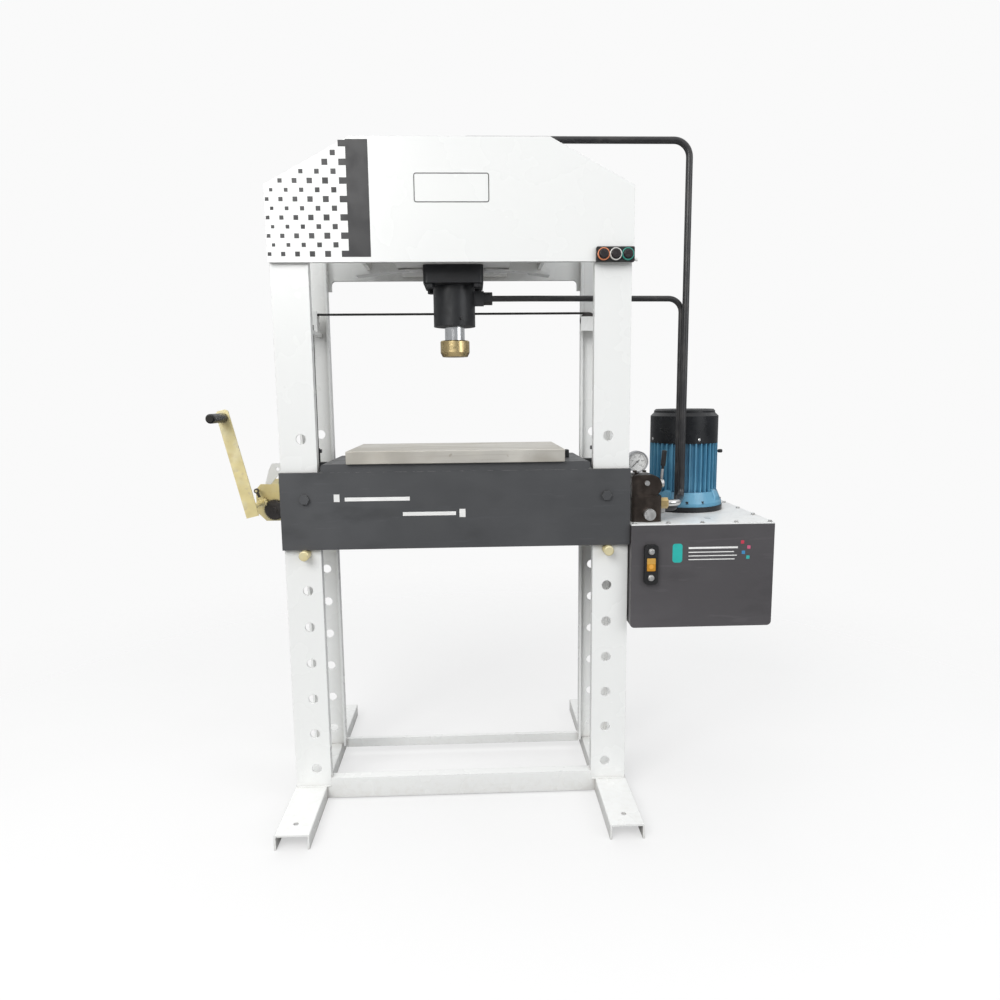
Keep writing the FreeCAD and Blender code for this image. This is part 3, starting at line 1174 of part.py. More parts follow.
def pipe_lower():
    """Tube from the rod end of the cylinder, through the right column and down to the valve."""
    end = valve_port(1)
    points = [
        Vector(BARREL_R + PORT_BLOCK + UNION_LENGTH, 0, PORT_Z),
        Vector(PIPE_LOWER_BREAK_X, 0, PORT_Z), Vector(PIPE_LOWER_X, PIPE_LOWER_Y, PORT_Z),
        Vector(PIPE_LOWER_X, PIPE_LOWER_Y, end.z),
        Vector(end.x + PIPE_STUB, end.y, end.z), end,
    ]
    bends = [PIPE_LOWER_BEND, PIPE_LOWER_BEND, PIPE_END_BEND, PIPE_END_BEND]
    return swept_rod(bent_path(points, bends), PIPE_LOWER_R)


def cylinder_unions():
    """Port block on the barrel, union nuts on both ports, and the bleed screw."""
    block = box(BARREL_R / 2, BARREL_R + PORT_BLOCK, -20, 20, PORT_Z - 22, PORT_Z + 22)
    block = block.cut(rod(0, 0, PORT_Z - 30, BARREL_R, 60))
    side_nut = hex_prism(BARREL_R + PORT_BLOCK, 0, PORT_Z, 36, UNION_LENGTH, X_AXIS)
    top_nut = hex_prism(0, 0, BARREL_TOP_Z, 38, UNION_LENGTH)
    bleed_angle = math.radians(-70)
    out = Vector(math.cos(bleed_angle), math.sin(bleed_angle), 0)
    foot = Vector(out).multiply(BARREL_R - 1)
    foot.z = BARREL_BOTTOM_Z + 22
    bleed = Part.makeCylinder(5.0, 7, foot, out).cut(rod(0, 0, BARREL_BOTTOM_Z, BARREL_R, 60))
    return [block, side_nut, top_nut, bleed]


# ---- controls -----------------------------------------------------------------------------
def button_centers():
    panel_x = HEAD_HALF_WIDTH - PANEL_WIDTH / 2
    return [panel_x + BUTTON_PITCH * step for step in (-1, 0, 1)]


def button_panel():
    """Black strip on the head with a raised collar round each button."""
    y1 = -PLATE_OUT_Y
    y0 = y1 - PANEL_DEPTH
    panel = box(HEAD_HALF_WIDTH - PANEL_WIDTH, HEAD_HALF_WIDTH, y0, y1,
                PANEL_Z - PANEL_HEIGHT / 2, PANEL_Z + PANEL_HEIGHT / 2)
    panel = fillet_edges(panel, 4.0, edge_runs(Y_AXIS))
    for x in button_centers():
        panel = panel.fuse(rod(x, y0, PANEL_Z, BEZEL_R, BEZEL_HEIGHT, -Y_AXIS))
    for x in button_centers():
        panel = panel.cut(rod(x, y0 - BEZEL_HEIGHT, PANEL_Z, BUTTON_R + 0.5,
                              BEZEL_HEIGHT + PANEL_DEPTH - 1, Y_AXIS))
    return panel


def push_button(x):
    """Button in its collar, with room behind it for its travel."""
    front = -PLATE_OUT_Y - PANEL_DEPTH - BEZEL_HEIGHT - BUTTON_TRAVEL - 1
    back = -PLATE_OUT_Y - 1 - BUTTON_TRAVEL - BODY_GAP
    button = rod(x, front, PANEL_Z, BUTTON_R, back - front, Y_AXIS)
    rim = [edge for edge in button.Edges
           if edge.Curve.TypeId == "Part::GeomCircle" and edge.Vertexes[0].Point.y < front + 1]
    return button.makeFillet(2.0, rim)


# ---- write the nodes --------------------------------------------------------------------------
def write_frame():
    save("head_front_plate", head_front_plate())
    save("head_rear_plate", head_rear_plate())
    save("head_cross_members", *head_cross_members())
    column = column_front_right()
    save("column_front_right", column)
    save("column_front_left", mirror_x(column))
    save("column_rear_right", mirror_y(column))
    save("column_rear_left", mirror_x(mirror_y(column)))
    foot = foot_right()
    save("foot_right", foot)
    save("foot_left", mirror_x(foot))
    save("foot_ties", *foot_ties())
    pin = support_pin_right()
    save("support_pin_right", pin)
    save("support_pin_left", mirror_x(pin))


def write_cylinder():
    save("cylinder_barrel", cylinder_barrel())
    save("cylinder_gland", cylinder_gland())
    save("flange_bolts", *flange_bolts())
    save("cylinder_unions", *cylinder_unions())
    save("piston_rod", piston_rod())
    save("ram_cap", ram_cap())


def write_bed():
    plate = bed_front_plate()
    save("bed_front_plate", plate)
    save("bed_rear_plate", mirror_y(plate))
    save("bed_cross_members", *bed_cross_members())
    save("bed_top_plate", bed_top_plate())
    save("bolster_plate", bolster_plate())
    save("bed_bolts", *bed_bolts())
    save("bed_fittings", *bed_fittings())


def write_hoist():
    save("sheave_left", sheave_left())
    save("sheave_right", sheave(SHEAVE_RIGHT_X, ROPE_B_Y))
    left_beam = FALL_LEFT_X + ROPE_R + LEFT_BEAM_GAP
    left = sheave_bracket(SHEAVE_LEFT_X,
                          (SHEAVE_LEFT_X - CHEEK_OUTER_REACH, left_beam + BRACKET_BEAM), left_beam,
                          ROPE_A_Y, ROPE_B_Y, (SHEAVE_Z - CHEEK_DROP_LEFT, SHEAVE_Z + CHEEK_RISE_LEFT))
    right_outer = SHEAVE_RIGHT_X + RIGHT_CHEEK_OUTER
    right = sheave_bracket(SHEAVE_RIGHT_X,
                           (SHEAVE_RIGHT_X - RIGHT_CHEEK_INNER, right_outer),
                           right_outer - BRACKET_BEAM, ROPE_B_Y, ROPE_B_Y,
                           (SHEAVE_Z - BRACKET_DROP, SHEAVE_Z + CHEEK_RISE_RIGHT))
    save("sheave_bracket_left", left)
    save("sheave_bracket_right", right)
    save("rope_runs", *rope_runs())
    save("rope_fall_left", rope_fall(FALL_LEFT_X, ROPE_A_Y))
    save("rope_fall_right", rope_fall(FALL_RIGHT_X, ROPE_B_Y))
    save("winch_mount", *winch_mount())
    save("winch_frame", winch_frame())
    save("winch_drum", winch_drum())
    save("rope_on_drum", rope_on_drum())
    save("crank", crank())
    save("crank_grip", crank_grip())
    save("pawl", pawl())


def write_power_pack():
    save("tank_body", tank_body())
    save("tank_lid", tank_lid())
    save("tank_fittings", *tank_fittings())
    save("pump_unit", pump_unit())
    save("motor_adapter", motor_adapter())
    save("motor_body", motor_body())
    save("fan_cover", fan_cover())
    save("motor_rotor", motor_rotor())
    save("terminal_box", terminal_box())
    save("valve_body", valve_body())
    save("valve_fittings", *valve_fittings())
    save("valve_lever", valve_lever())
    save("gauge_case", gauge_case())
    save("gauge_needle", gauge_needle())
    save("level_gauge", level_gauge())
    save("pipe_upper", pipe_upper())
    save("pipe_lower", pipe_lower())


def write_controls():
    save("button_panel", button_panel())
    for name, x in zip(("button_red", "button_white", "button_green"), button_centers()):
        save(name, push_button(x))


os.makedirs("parts", exist_ok=True)
write_frame()
write_cylinder()
write_bed()
write_hoist()
write_power_pack()
write_controls()
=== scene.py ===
import json
import math
import random

import bmesh
import bpy
from mathutils import Matrix, Vector

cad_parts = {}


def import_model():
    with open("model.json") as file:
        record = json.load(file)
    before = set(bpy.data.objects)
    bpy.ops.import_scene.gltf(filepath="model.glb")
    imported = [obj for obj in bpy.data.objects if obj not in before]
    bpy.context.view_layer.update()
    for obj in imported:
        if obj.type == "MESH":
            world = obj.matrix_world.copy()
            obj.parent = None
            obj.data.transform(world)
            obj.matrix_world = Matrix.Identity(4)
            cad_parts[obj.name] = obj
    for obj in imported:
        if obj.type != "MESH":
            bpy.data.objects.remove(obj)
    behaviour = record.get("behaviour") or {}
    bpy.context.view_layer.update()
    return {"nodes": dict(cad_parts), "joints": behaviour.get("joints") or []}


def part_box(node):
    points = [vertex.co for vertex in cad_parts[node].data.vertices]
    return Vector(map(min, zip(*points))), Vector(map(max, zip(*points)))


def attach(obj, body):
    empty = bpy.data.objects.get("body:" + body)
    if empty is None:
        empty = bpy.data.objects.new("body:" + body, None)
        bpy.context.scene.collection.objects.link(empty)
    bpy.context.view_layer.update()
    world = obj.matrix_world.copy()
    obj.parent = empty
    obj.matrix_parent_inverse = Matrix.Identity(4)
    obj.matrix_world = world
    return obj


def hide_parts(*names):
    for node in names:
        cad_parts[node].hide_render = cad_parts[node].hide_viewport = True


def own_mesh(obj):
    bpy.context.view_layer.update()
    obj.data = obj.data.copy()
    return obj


MM = 0.001
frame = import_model()
NODES = frame["nodes"]
JOINTS = {joint["name"]: joint for joint in frame["joints"]}


# ---- small helpers
def side(node, axis, end):
    """One side of a CAD node's box: axis 0, 1 or 2, and end 0 for low or 1 for high."""
    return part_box(node)[end][axis]


def middle(node):
    low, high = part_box(node)
    return (low + high) / 2


def joint_place(name):
    return Vector(JOINTS[name]["pos_m"])


def scaled(colour, factor):
    """A lighter or darker colour, never over 1."""
    return tuple(min(1, c * factor) for c in colour)


def around(turn_deg):
    """Level unit vector at an angle from +X."""
    turn = math.radians(turn_deg)
    return Vector((math.cos(turn), math.sin(turn), 0))


def add_piece(name, bm, body, material, smooth_deg=30):
    """Put a bmesh in the scene, faces outward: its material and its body."""
    bmesh.ops.recalc_face_normals(bm, faces=bm.faces)
    mesh = bpy.data.meshes.new(name)
    bm.to_mesh(mesh)
    bm.free()
    mesh.materials.append(material)
    mesh.shade_smooth()
    mesh.set_sharp_from_angle(angle=math.radians(smooth_deg))
    piece = bpy.data.objects.new(name, mesh)
    bpy.context.scene.collection.objects.link(piece)
    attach(piece, body)
    return piece


# ---- shapes
def add_prism(bm, outline, low, high):
    """Closed prism: the outline is (x, z) points, and it runs from y=low to y=high."""
    front = [bm.verts.new((x, low, z)) for x, z in outline]
    back = [bm.verts.new((x, high, z)) for x, z in outline]
    bm.faces.new(front)
    bm.faces.new(reversed(back))
    for i in range(len(outline)):
        j = (i + 1) % len(outline)
        bm.faces.new((front[i], back[i], back[j], front[j]))


def rectangle(x0, x1, z0, z1):
    return [(x0, z0), (x1, z0), (x1, z1), (x0, z1)]


def rounded_rectangle(x0, x1, z0, z1, radius, steps=5):
    """Outline of a rectangle with round corners, counter-clockwise."""
    points = []
    corners = ((x1 - radius, z0 + radius, -90), (x1 - radius, z1 - radius, 0),
               (x0 + radius, z1 - radius, 90), (x0 + radius, z0 + radius, 180))
    for cx, cz, start in corners:
        for step in range(steps + 1):
            turn = math.radians(start + 90 * step / steps)
            points.append((cx + radius * math.cos(turn), cz + radius * math.sin(turn)))
    return points


def join_rings(bm, rings):
    """Walls between each ring of vertices and the next."""
    for a, b in zip(rings, rings[1:]):
        for i in range(len(a)):
            j = (i + 1) % len(a)
            bm.faces.new((a[i], a[j], b[j], b[i]))


def add_frame_prism(bm, outer, inner, low, high):
    """Flat closed band between two outlines with as many points."""
    rings = []
    for outline, y in ((outer, low), (inner, low), (inner, high), (outer, high)):
        rings.append([bm.verts.new((x, y, z)) for x, z in outline])
    join_rings(bm, rings + rings[:1])


def add_lathe(bm, profile, center, axis, sides):
    """Closed turned solid. The profile is (radius, distance along the axis) pairs."""
    along = Vector(axis).normalized()
    across = along.orthogonal().normalized()
    up = along.cross(across)
    rings = []
    for radius, distance in profile:
        base = Vector(center) + along * distance
        if radius < 1e-7:
            rings.append([bm.verts.new(base)])
            continue
        ring = []
        for i in range(sides):
            turn = 2 * math.pi * i / sides
            ring.append(bm.verts.new(base + radius * (across * math.cos(turn) + up * math.sin(turn))))
        rings.append(ring)
    closed = rings + rings[:1] if len(rings[0]) > 1 and len(rings[-1]) > 1 else rings
    for a, b in zip(closed, closed[1:]):
        for i in range(sides):
            j = (i + 1) % sides
            corners = [a[i % len(a)], a[j % len(a)], b[j % len(b)], b[i % len(b)]]
            unique = list(dict.fromkeys(corners))
            if len(unique) > 2:
                bm.faces.new(unique)


def add_tube(bm, points, radii, sides):
    """Closed tube through points, with a radius for each."""
    points = [Vector(p) for p in points]
    across = None
    rings = []
    for i, point in enumerate(points):
        before = points[max(i - 1, 0)]
        after = points[min(i + 1, len(points) - 1)]
        along = (after - before).normalized()
        if across is None:
            across = along.orthogonal().normalized()
        across = (across - along * across.dot(along)).normalized()
        up = along.cross(across)
        rings.append([bm.verts.new(point + radii[i] * (across * math.cos(2 * math.pi * k / sides)
                                                       + up * math.sin(2 * math.pi * k / sides)))
                      for k in range(sides)])
    join_rings(bm, rings)
    bm.faces.new(rings[0])
    bm.faces.new(rings[-1])


def add_hex_head(bm, center, axis, across_flats, height, washer=0.0):
    """Bolt head with a chamfered top, on an optional round washer."""
    radius = across_flats / math.sqrt(3)
    base = Vector(center)
    along = Vector(axis).normalized()
    if washer:
        flat = height * 0.22
        add_lathe(bm, [(0, 0), (washer, 0), (washer, flat * 0.8), (washer * 0.96, flat), (0, flat)],
                  base, along, 28)
        base = base + along * flat
    bevel = height * 0.16
    add_lathe(bm, [(0, 0), (radius, 0), (radius, height - bevel), (radius * 0.88, height), (0, height)],
              base, along, 6)


def add_screw_head(bm, center, axis, radius, height):
    """Round screw head with a dimple for its recess."""
    add_lathe(bm, [(0, 0), (radius, 0), (radius * 0.94, height * 0.55), (radius * 0.62, height),
                   (radius * 0.3, height), (radius * 0.2, height * 0.45), (0, height * 0.4)],
              center, axis, 24)


# ---- materials
class Finish:
    """A Principled material whose colour, roughness and bump are built up in layers."""

    def __init__(self, name, colour, rough, metal=0.0, coat=0.0, coat_rough=0.1, specular=0.5):
        self.material = bpy.data.materials.new(name)
        self.material.use_nodes = True
        self.tree = self.material.node_tree
        self.shader = self.tree.nodes["Principled BSDF"]
        self.shader.inputs["Metallic"].default_value = metal
        self.shader.inputs["Coat Weight"].default_value = coat
        self.shader.inputs["Coat Roughness"].default_value = coat_rough
        self.shader.inputs["Specular IOR Level"].default_value = specular
        self.shader.inputs["Base Color"].default_value = (*colour, 1)
        self.shader.inputs["Roughness"].default_value = rough
        self.colour = tuple(colour)
        self.colour_out = None
        self.rough = rough
        self.rough_out = None
        self.bump_out = None
        self.place = self.node("ShaderNodeTexCoord").outputs["Object"]

    def node(self, kind, **settings):
        made = self.tree.nodes.new(kind)
        for key, value in settings.items():
            setattr(made, key, value)
        return made

    def stretched(self, stretch):
        """The place in the row frame, scaled along each axis."""
        mapping = self.node("ShaderNodeMapping", vector_type="POINT")
        mapping.inputs["Scale"].default_value = stretch
        self.tree.links.new(self.place, mapping.inputs["Vector"])
        return mapping.outputs["Vector"]

    def noise(self, scale, detail=3.0, stretch=(1, 1, 1), distortion=0.0):
        made = self.node("ShaderNodeTexNoise")
        made.inputs["Scale"].default_value = scale
        made.inputs["Detail"].default_value = detail
        made.inputs["Distortion"].default_value = distortion
        self.tree.links.new(self.stretched(stretch), made.inputs["Vector"])
        return made.outputs["Fac"]

    def cloud(self, low, high, *noise):
        """Noise cut to low..high: soft patches of 1 on 0."""
        return self.between(self.noise(*noise), low, high)

    def between(self, value, low, high, to_low=0.0, to_high=1.0):
        """Map a value from low..high to to_low..to_high, clamped and smooth."""
        made = self.node("ShaderNodeMapRange", interpolation_type="SMOOTHSTEP")
        for key, number in (("From Min", low), ("From Max", high), ("To Min", to_low), ("To Max", to_high)):
            made.inputs[key].default_value = number
        self.tree.links.new(value, made.inputs["Value"])
        return made.outputs["Result"]

    def times(self, a, b):
        made = self.node("ShaderNodeMath", operation="MULTIPLY")
        self.tree.links.new(a, made.inputs[0])
        if isinstance(b, (int, float)):
            made.inputs[1].default_value = b
        else:
            self.tree.links.new(b, made.inputs[1])
        return made.outputs["Value"]

    def axis(self, index):
        """Place along one axis of the row frame, in metres."""
        split = self.node("ShaderNodeSeparateXYZ")
        self.tree.links.new(self.place, split.inputs["Vector"])
        return split.outputs[index]

    def distance(self, point, flatten=(1, 1, 1)):
        """Distance from a point, ignoring the axes whose flatten is 0."""
        shifted = self.node("ShaderNodeVectorMath", operation="SUBTRACT")
        shifted.inputs[1].default_value = point
        self.tree.links.new(self.place, shifted.inputs[0])
        flat = self.node("ShaderNodeVectorMath", operation="MULTIPLY")
        flat.inputs[1].default_value = flatten
        self.tree.links.new(shifted.outputs["Vector"], flat.inputs[0])
        length = self.node("ShaderNodeVectorMath", operation="LENGTH")
        self.tree.links.new(flat.outputs["Vector"], length.inputs[0])
        return length.outputs["Value"]

    def edges(self, width, low=0.02, high=0.25):
        """1 on convex and concave edges, where a rounded normal leaves the true one."""
        bevel = self.node("ShaderNodeBevel", samples=4)
        bevel.inputs["Radius"].default_value = width
        geometry = self.node("ShaderNodeNewGeometry")
        dot = self.node("ShaderNodeVectorMath", operation="DOT_PRODUCT")
        self.tree.links.new(bevel.outputs["Normal"], dot.inputs[0])
        self.tree.links.new(geometry.outputs["Normal"], dot.inputs[1])
        return self.between(dot.outputs["Value"], 1 - low, 1 - high)

    def corner_shade(self, distance, low=0.35, high=0.85):
        """1 in corners and gaps, 0 in the open: the mask for painted shade, from ambient occlusion."""
        shade = self.node("ShaderNodeAmbientOcclusion", samples=6)
        shade.inputs["Distance"].default_value = distance
        return self.between(shade.outputs["AO"], low, high, 1.0, 0.0)

    def tint(self, mask, colour, strength=1.0):
        """Blend another colour in where the mask is 1."""
        mix = self.node("ShaderNodeMix", data_type="RGBA")
        self.tree.links.new(self.times(mask, strength), mix.inputs["Factor"])
        if self.colour_out is None:
            mix.inputs[6].default_value = (*self.colour, 1)
        else:
            self.tree.links.new(self.colour_out, mix.inputs[6])
        mix.inputs[7].default_value = (*colour, 1)
        self.colour_out = mix.outputs[2]
        return self

    def roughen(self, mask, rough):
        """Blend another roughness in where the mask is 1."""
        mix = self.node("ShaderNodeMix", data_type="FLOAT")
        self.tree.links.new(mask, mix.inputs["Factor"])
        if self.rough_out is None:
            mix.inputs[2].default_value = self.rough
        else:
            self.tree.links.new(self.rough_out, mix.inputs[2])
        mix.inputs[3].default_value = rough
        self.rough_out = mix.outputs[0]
        return self

    def bump(self, height, strength, distance):
        """Add a layer of bump."""
        made = self.node("ShaderNodeBump")
        made.inputs["Strength"].default_value = strength
        made.inputs["Distance"].default_value = distance
        self.tree.links.new(height, made.inputs["Height"])
        if self.bump_out is not None:
            self.tree.links.new(self.bump_out, made.inputs["Normal"])
        self.bump_out = made.outputs["Normal"]
        return self

    def soft_edges(self, radius):
        """Round the shading of sharp edges, under any bump."""
        bevel = self.node("ShaderNodeBevel", samples=4)
        bevel.inputs["Radius"].default_value = radius
        self.bump_out = bevel.outputs["Normal"]
        return self

    def done(self):
        for out, socket in ((self.colour_out, "Base Color"), (self.rough_out, "Roughness"),
                            (self.bump_out, "Normal")):
            if out is not None:
                self.tree.links.new(out, self.shader.inputs[socket])
        return self.material


def white_enamel():
    paint = Finish("frame_enamel", (0.875, 0.885, 0.875), 0.26, coat=0.2, coat_rough=0.12)
    paint.soft_edges(1.6 * MM)
    paint.tint(paint.cloud(0.35, 0.8, 2.2, 2), (0.845, 0.855, 0.85), 0.5)
    paint.tint(paint.cloud(0.58, 0.85, 14.0, 3, (1, 1, 0.25)), (0.83, 0.83, 0.815), 0.08)
    low_down = paint.between(paint.axis(2), 0.10, 0.0)
    paint.tint(paint.times(low_down, paint.cloud(0.4, 0.75, 60, 4)), (0.66, 0.63, 0.57), 0.25)
    # painted shade: a broad occlusion tint darkens the underside of the head, the columns below it and other deep
    # inner corners
    paint.tint(paint.corner_shade(150 * MM, 0.15, 0.75), (0.55, 0.53, 0.50), 0.5)
    # painted shade: warm dark tint in tight corners and gaps
    paint.tint(paint.corner_shade(16 * MM), (0.40, 0.375, 0.35), 0.45)
    chips = paint.times(paint.edges(2.2 * MM), paint.cloud(0.56, 0.62, 70, 3))
    paint.tint(chips, (0.34, 0.33, 0.32), 0.55)
    paint.roughen(paint.cloud(0.35, 0.8, 6, 3), 0.30)
    paint.bump(paint.noise(420, 2), 0.05, 0.4 * MM)
    paint.bump(paint.noise(38, 2), 0.05, 0.8 * MM)
    return paint.done()


def charcoal_enamel(name, colour, rough):
    paint = Finish(name, colour, rough, coat=0.12, coat_rough=0.25)
    paint.soft_edges(1.2 * MM)
    lighter = scaled(colour, 1.28)
    darker = scaled(colour, 0.78)
    paint.tint(paint.cloud(0.45, 0.72, 3.0, 5), lighter, 0.8)
    paint.tint(paint.cloud(0.5, 0.75, 5.5, 4, (1, 1, 2.5)), darker, 0.7)
    rub = paint.cloud(0.63, 0.72, 60, 3, (0.12, 1, 1))
    paint.tint(rub, scaled(colour, 1.7), 0.25)
    worn = paint.times(paint.edges(1.8 * MM), paint.cloud(0.47, 0.6, 55, 3))
    paint.tint(worn, (0.27, 0.27, 0.27), 0.75)
    # painted shade: near-black tint in corners and gaps
    paint.tint(paint.corner_shade(14 * MM), (0.05, 0.048, 0.045), 0.5)
    paint.roughen(paint.cloud(0.4, 0.7, 7, 4), rough + 0.16)
    paint.roughen(rub, rough - 0.08)
    paint.bump(paint.noise(520, 2), 0.08, 0.3 * MM)
    return paint.done()


def black_enamel(name, colour=(0.014, 0.015, 0.017), rough=0.40, edge=(0.16, 0.15, 0.14)):
    paint = Finish(name, colour, rough, coat=0.06, coat_rough=0.2, specular=0.4)
    paint.soft_edges(1.0 * MM)
    paint.tint(paint.cloud(0.45, 0.75, 14, 4), scaled(colour, 1.8), 0.7)
    worn = paint.times(paint.edges(1.4 * MM), paint.cloud(0.5, 0.62, 90, 3))
    paint.tint(worn, edge, 0.7)
    paint.roughen(paint.cloud(0.42, 0.7, 25, 4), rough + 0.2)
    paint.bump(paint.noise(700, 2), 0.10, 0.25 * MM)
    return paint.done()


def hard_chrome():
    metal = Finish("rod_chrome", (0.80, 0.81, 0.82), 0.07, metal=1.0)
    metal.tint(metal.cloud(0.55, 0.75, 40, 4, (1, 1, 0.05)), (0.60, 0.61, 0.62), 0.5)
    metal.roughen(metal.cloud(0.45, 0.7, 70, 3, (1, 1, 0.04)), 0.18)
    metal.bump(metal.noise(260, 2, (0.1, 0.1, 1)), 0.05, 0.1 * MM)
    return metal.done()


def turned_brass():
    metal = Finish("cap_brass", (0.66, 0.52, 0.27), 0.26, metal=1.0)
    metal.soft_edges(0.8 * MM)
    metal.tint(metal.cloud(0.42, 0.7, 30, 4), (0.42, 0.31, 0.15), 0.6)
    metal.tint(metal.edges(1.5 * MM), (0.80, 0.66, 0.38), 0.6)
    metal.roughen(metal.cloud(0.4, 0.7, 50, 3), 0.42)
    metal.bump(metal.noise(600, 2, (0.02, 0.02, 1)), 0.25, 0.15 * MM)
    return metal.done()


def worn_steel_plate():
    """Ground plate with a brown tarnish, rubbed bright along its edges."""
    metal = Finish("bolster_steel", (0.66, 0.64, 0.59), 0.42, metal=0.6)
    metal.soft_edges(0.8 * MM)
    metal.tint(metal.cloud(0.44, 0.66, 5, 6, (0.5, 1, 1), 0.6), (0.44, 0.41, 0.35), 0.65)
    metal.tint(metal.cloud(0.58, 0.72, 9, 6), (0.60, 0.57, 0.52), 0.7)
    metal.tint(metal.cloud(0.55, 0.7, 120, 2, (0.03, 1, 1)), (0.55, 0.52, 0.47), 0.5)
    spots = metal.cloud(0.66, 0.72, 42, 4)
    metal.tint(spots, (0.26, 0.20, 0.14), 0.4)
    metal.tint(metal.times(metal.edges(2.2 * MM), metal.cloud(0.3, 0.5, 25, 3)),
               (0.74, 0.70, 0.62), 0.8)
    metal.roughen(metal.cloud(0.4, 0.7, 12, 5), 0.6)
    metal.bump(metal.noise(900, 2, (0.02, 1, 1)), 0.18, 0.2 * MM)
    metal.bump(spots, 0.3, 0.2 * MM)
    return metal.done()


def yellow_zinc(name, violet, shade_tone, shade_tone_strength, black_before_y=None):
    """Yellow plating. In front of a plane it can be black, like the end of the crank's spindle."""
    metal = Finish(name, (0.86, 0.74, 0.38), 0.36, metal=0.45)
    metal.soft_edges(0.8 * MM)
    metal.tint(metal.cloud(0.4, 0.66, 16, 4), (0.90, 0.83, 0.56), 0.7)
    metal.tint(metal.cloud(0.55, 0.72, 28, 4), (0.74, 0.60, 0.30), 0.5)
    metal.tint(metal.cloud(0.63, 0.7, 45, 3), violet, 0.25)
    if black_before_y is not None:
        black = metal.between(metal.axis(1), black_before_y + 2 * MM, black_before_y + 1.5 * MM)
        metal.tint(black, (0.03, 0.028, 0.026))
    # painted shade: brown tint in corners and gaps
    metal.tint(metal.corner_shade(8 * MM), shade_tone, shade_tone_strength)
    metal.roughen(metal.cloud(0.4, 0.7, 60, 3), 0.5)
    metal.bump(metal.noise(420, 2), 0.05, 0.2 * MM)
    return metal.done()


def bright_zinc(name="zinc_bright", colour=(0.72, 0.72, 0.71)):
    metal = Finish(name, colour, 0.3, metal=0.9)
    metal.soft_edges(0.6 * MM)
    metal.tint(metal.cloud(0.45, 0.7, 60, 4), scaled(colour, 0.72), 0.6)
    # painted shade: dark tint in corners and gaps
    metal.tint(metal.corner_shade(4 * MM), (0.12, 0.11, 0.10), 0.8)
    metal.roughen(metal.cloud(0.4, 0.7, 90, 3), 0.48)
    metal.bump(metal.noise(800, 2), 0.06, 0.1 * MM)
    return metal.done()


def dark_metal(name, colour, rough, rim=(0.30, 0.28, 0.26)):
    """Oily dark iron or steel, brighter on its rubbed edges."""
    metal = Finish(name, colour, rough, metal=0.55)
    metal.soft_edges(0.8 * MM)
    metal.tint(metal.cloud(0.42, 0.7, 35, 4), scaled(colour, 1.7), 0.7)
    metal.tint(metal.times(metal.edges(1.2 * MM), metal.cloud(0.4, 0.6, 80, 3)), rim, 0.7)
    metal.roughen(metal.cloud(0.4, 0.7, 50, 4), rough + 0.2)
    metal.bump(metal.noise(420, 3), 0.22, 0.3 * MM)
    return metal.done()


def wire_rope():
    metal = Finish("rope_greased", (0.035, 0.034, 0.033), 0.42, metal=0.6)
    metal.tint(metal.cloud(0.5, 0.7, 160, 4), (0.14, 0.135, 0.13), 0.7)
    metal.bump(metal.noise(1400, 2, (1, 1, 0.4)), 0.4, 0.2 * MM)
    return metal.done()


def pale_lid():
    paint = Finish("lid_enamel", (0.86, 0.87, 0.865), 0.34, coat=0.15, coat_rough=0.2)
    paint.soft_edges(1.0 * MM)
    paint.tint(paint.cloud(0.42, 0.66, 14, 5), (0.78, 0.785, 0.78), 0.6)
    paint.tint(paint.cloud(0.56, 0.7, 90, 4), (0.62, 0.62, 0.61), 0.3)
    # painted shade: dark tint in corners and gaps
    paint.tint(paint.corner_shade(16 * MM), (0.30, 0.28, 0.26), 0.6)
    oil = paint.cloud(0.6, 0.7, 7, 4)
    paint.tint(oil, (0.50, 0.48, 0.43), 0.35)
    paint.roughen(paint.cloud(0.4, 0.7, 20, 4), 0.48)
    paint.roughen(oil, 0.18)
    paint.bump(paint.noise(300, 2), 0.07, 0.3 * MM)
    return paint.done()


def motor_enamel():
    paint = Finish("motor_enamel", (0.085, 0.27, 0.42), 0.3, coat=0.3, coat_rough=0.14)
    paint.soft_edges(0.8 * MM)
    paint.tint(paint.cloud(0.42, 0.7, 11, 4), (0.13, 0.36, 0.52), 0.7)
    paint.tint(paint.cloud(0.56, 0.72, 30, 4, (1, 1, 0.2)), (0.04, 0.15, 0.27), 0.4)
    # painted shade: darker blue between the fins and in other gaps
    paint.tint(paint.corner_shade(9 * MM), (0.03, 0.11, 0.21), 0.6)
    paint.tint(paint.times(paint.edges(1.2 * MM), paint.cloud(0.5, 0.62, 60, 3)),
               (0.25, 0.42, 0.55), 0.5)
    paint.roughen(paint.cloud(0.4, 0.7, 20, 4), 0.45)
    paint.bump(paint.noise(260, 3), 0.14, 0.4 * MM)
    return paint.done()


def moulded(name, colour, rough):
    plastic = Finish(name, colour, rough)
    plastic.soft_edges(0.6 * MM)
    plastic.tint(plastic.cloud(0.45, 0.7, 50, 4), scaled(colour, 1.25), 0.7)
    plastic.roughen(plastic.cloud(0.4, 0.7, 80, 4), rough + 0.15)
    plastic.bump(plastic.noise(900, 2), 0.12, 0.2 * MM)
    return plastic.done()


def two_tone_pipe(name, steel_before_y):
    """Black painted tube whose last stretch, in front of a plane, is bare plated steel."""
    paint = Finish(name, (0.022, 0.022, 0.024), 0.34, coat=0.15, coat_rough=0.2)
    paint.tint(paint.cloud(0.45, 0.72, 20, 4), (0.055, 0.052, 0.05), 0.7)
    bare = paint.between(paint.axis(1), steel_before_y + MM, steel_before_y)
    paint.tint(bare, (0.62, 0.62, 0.61))
    paint.roughen(paint.cloud(0.4, 0.7, 40, 4), 0.5)
    paint.roughen(bare, 0.26)
    paint.bump(paint.noise(500, 2), 0.08, 0.25 * MM)
    paint.tree.links.new(bare, paint.shader.inputs["Metallic"])
    return paint.done()


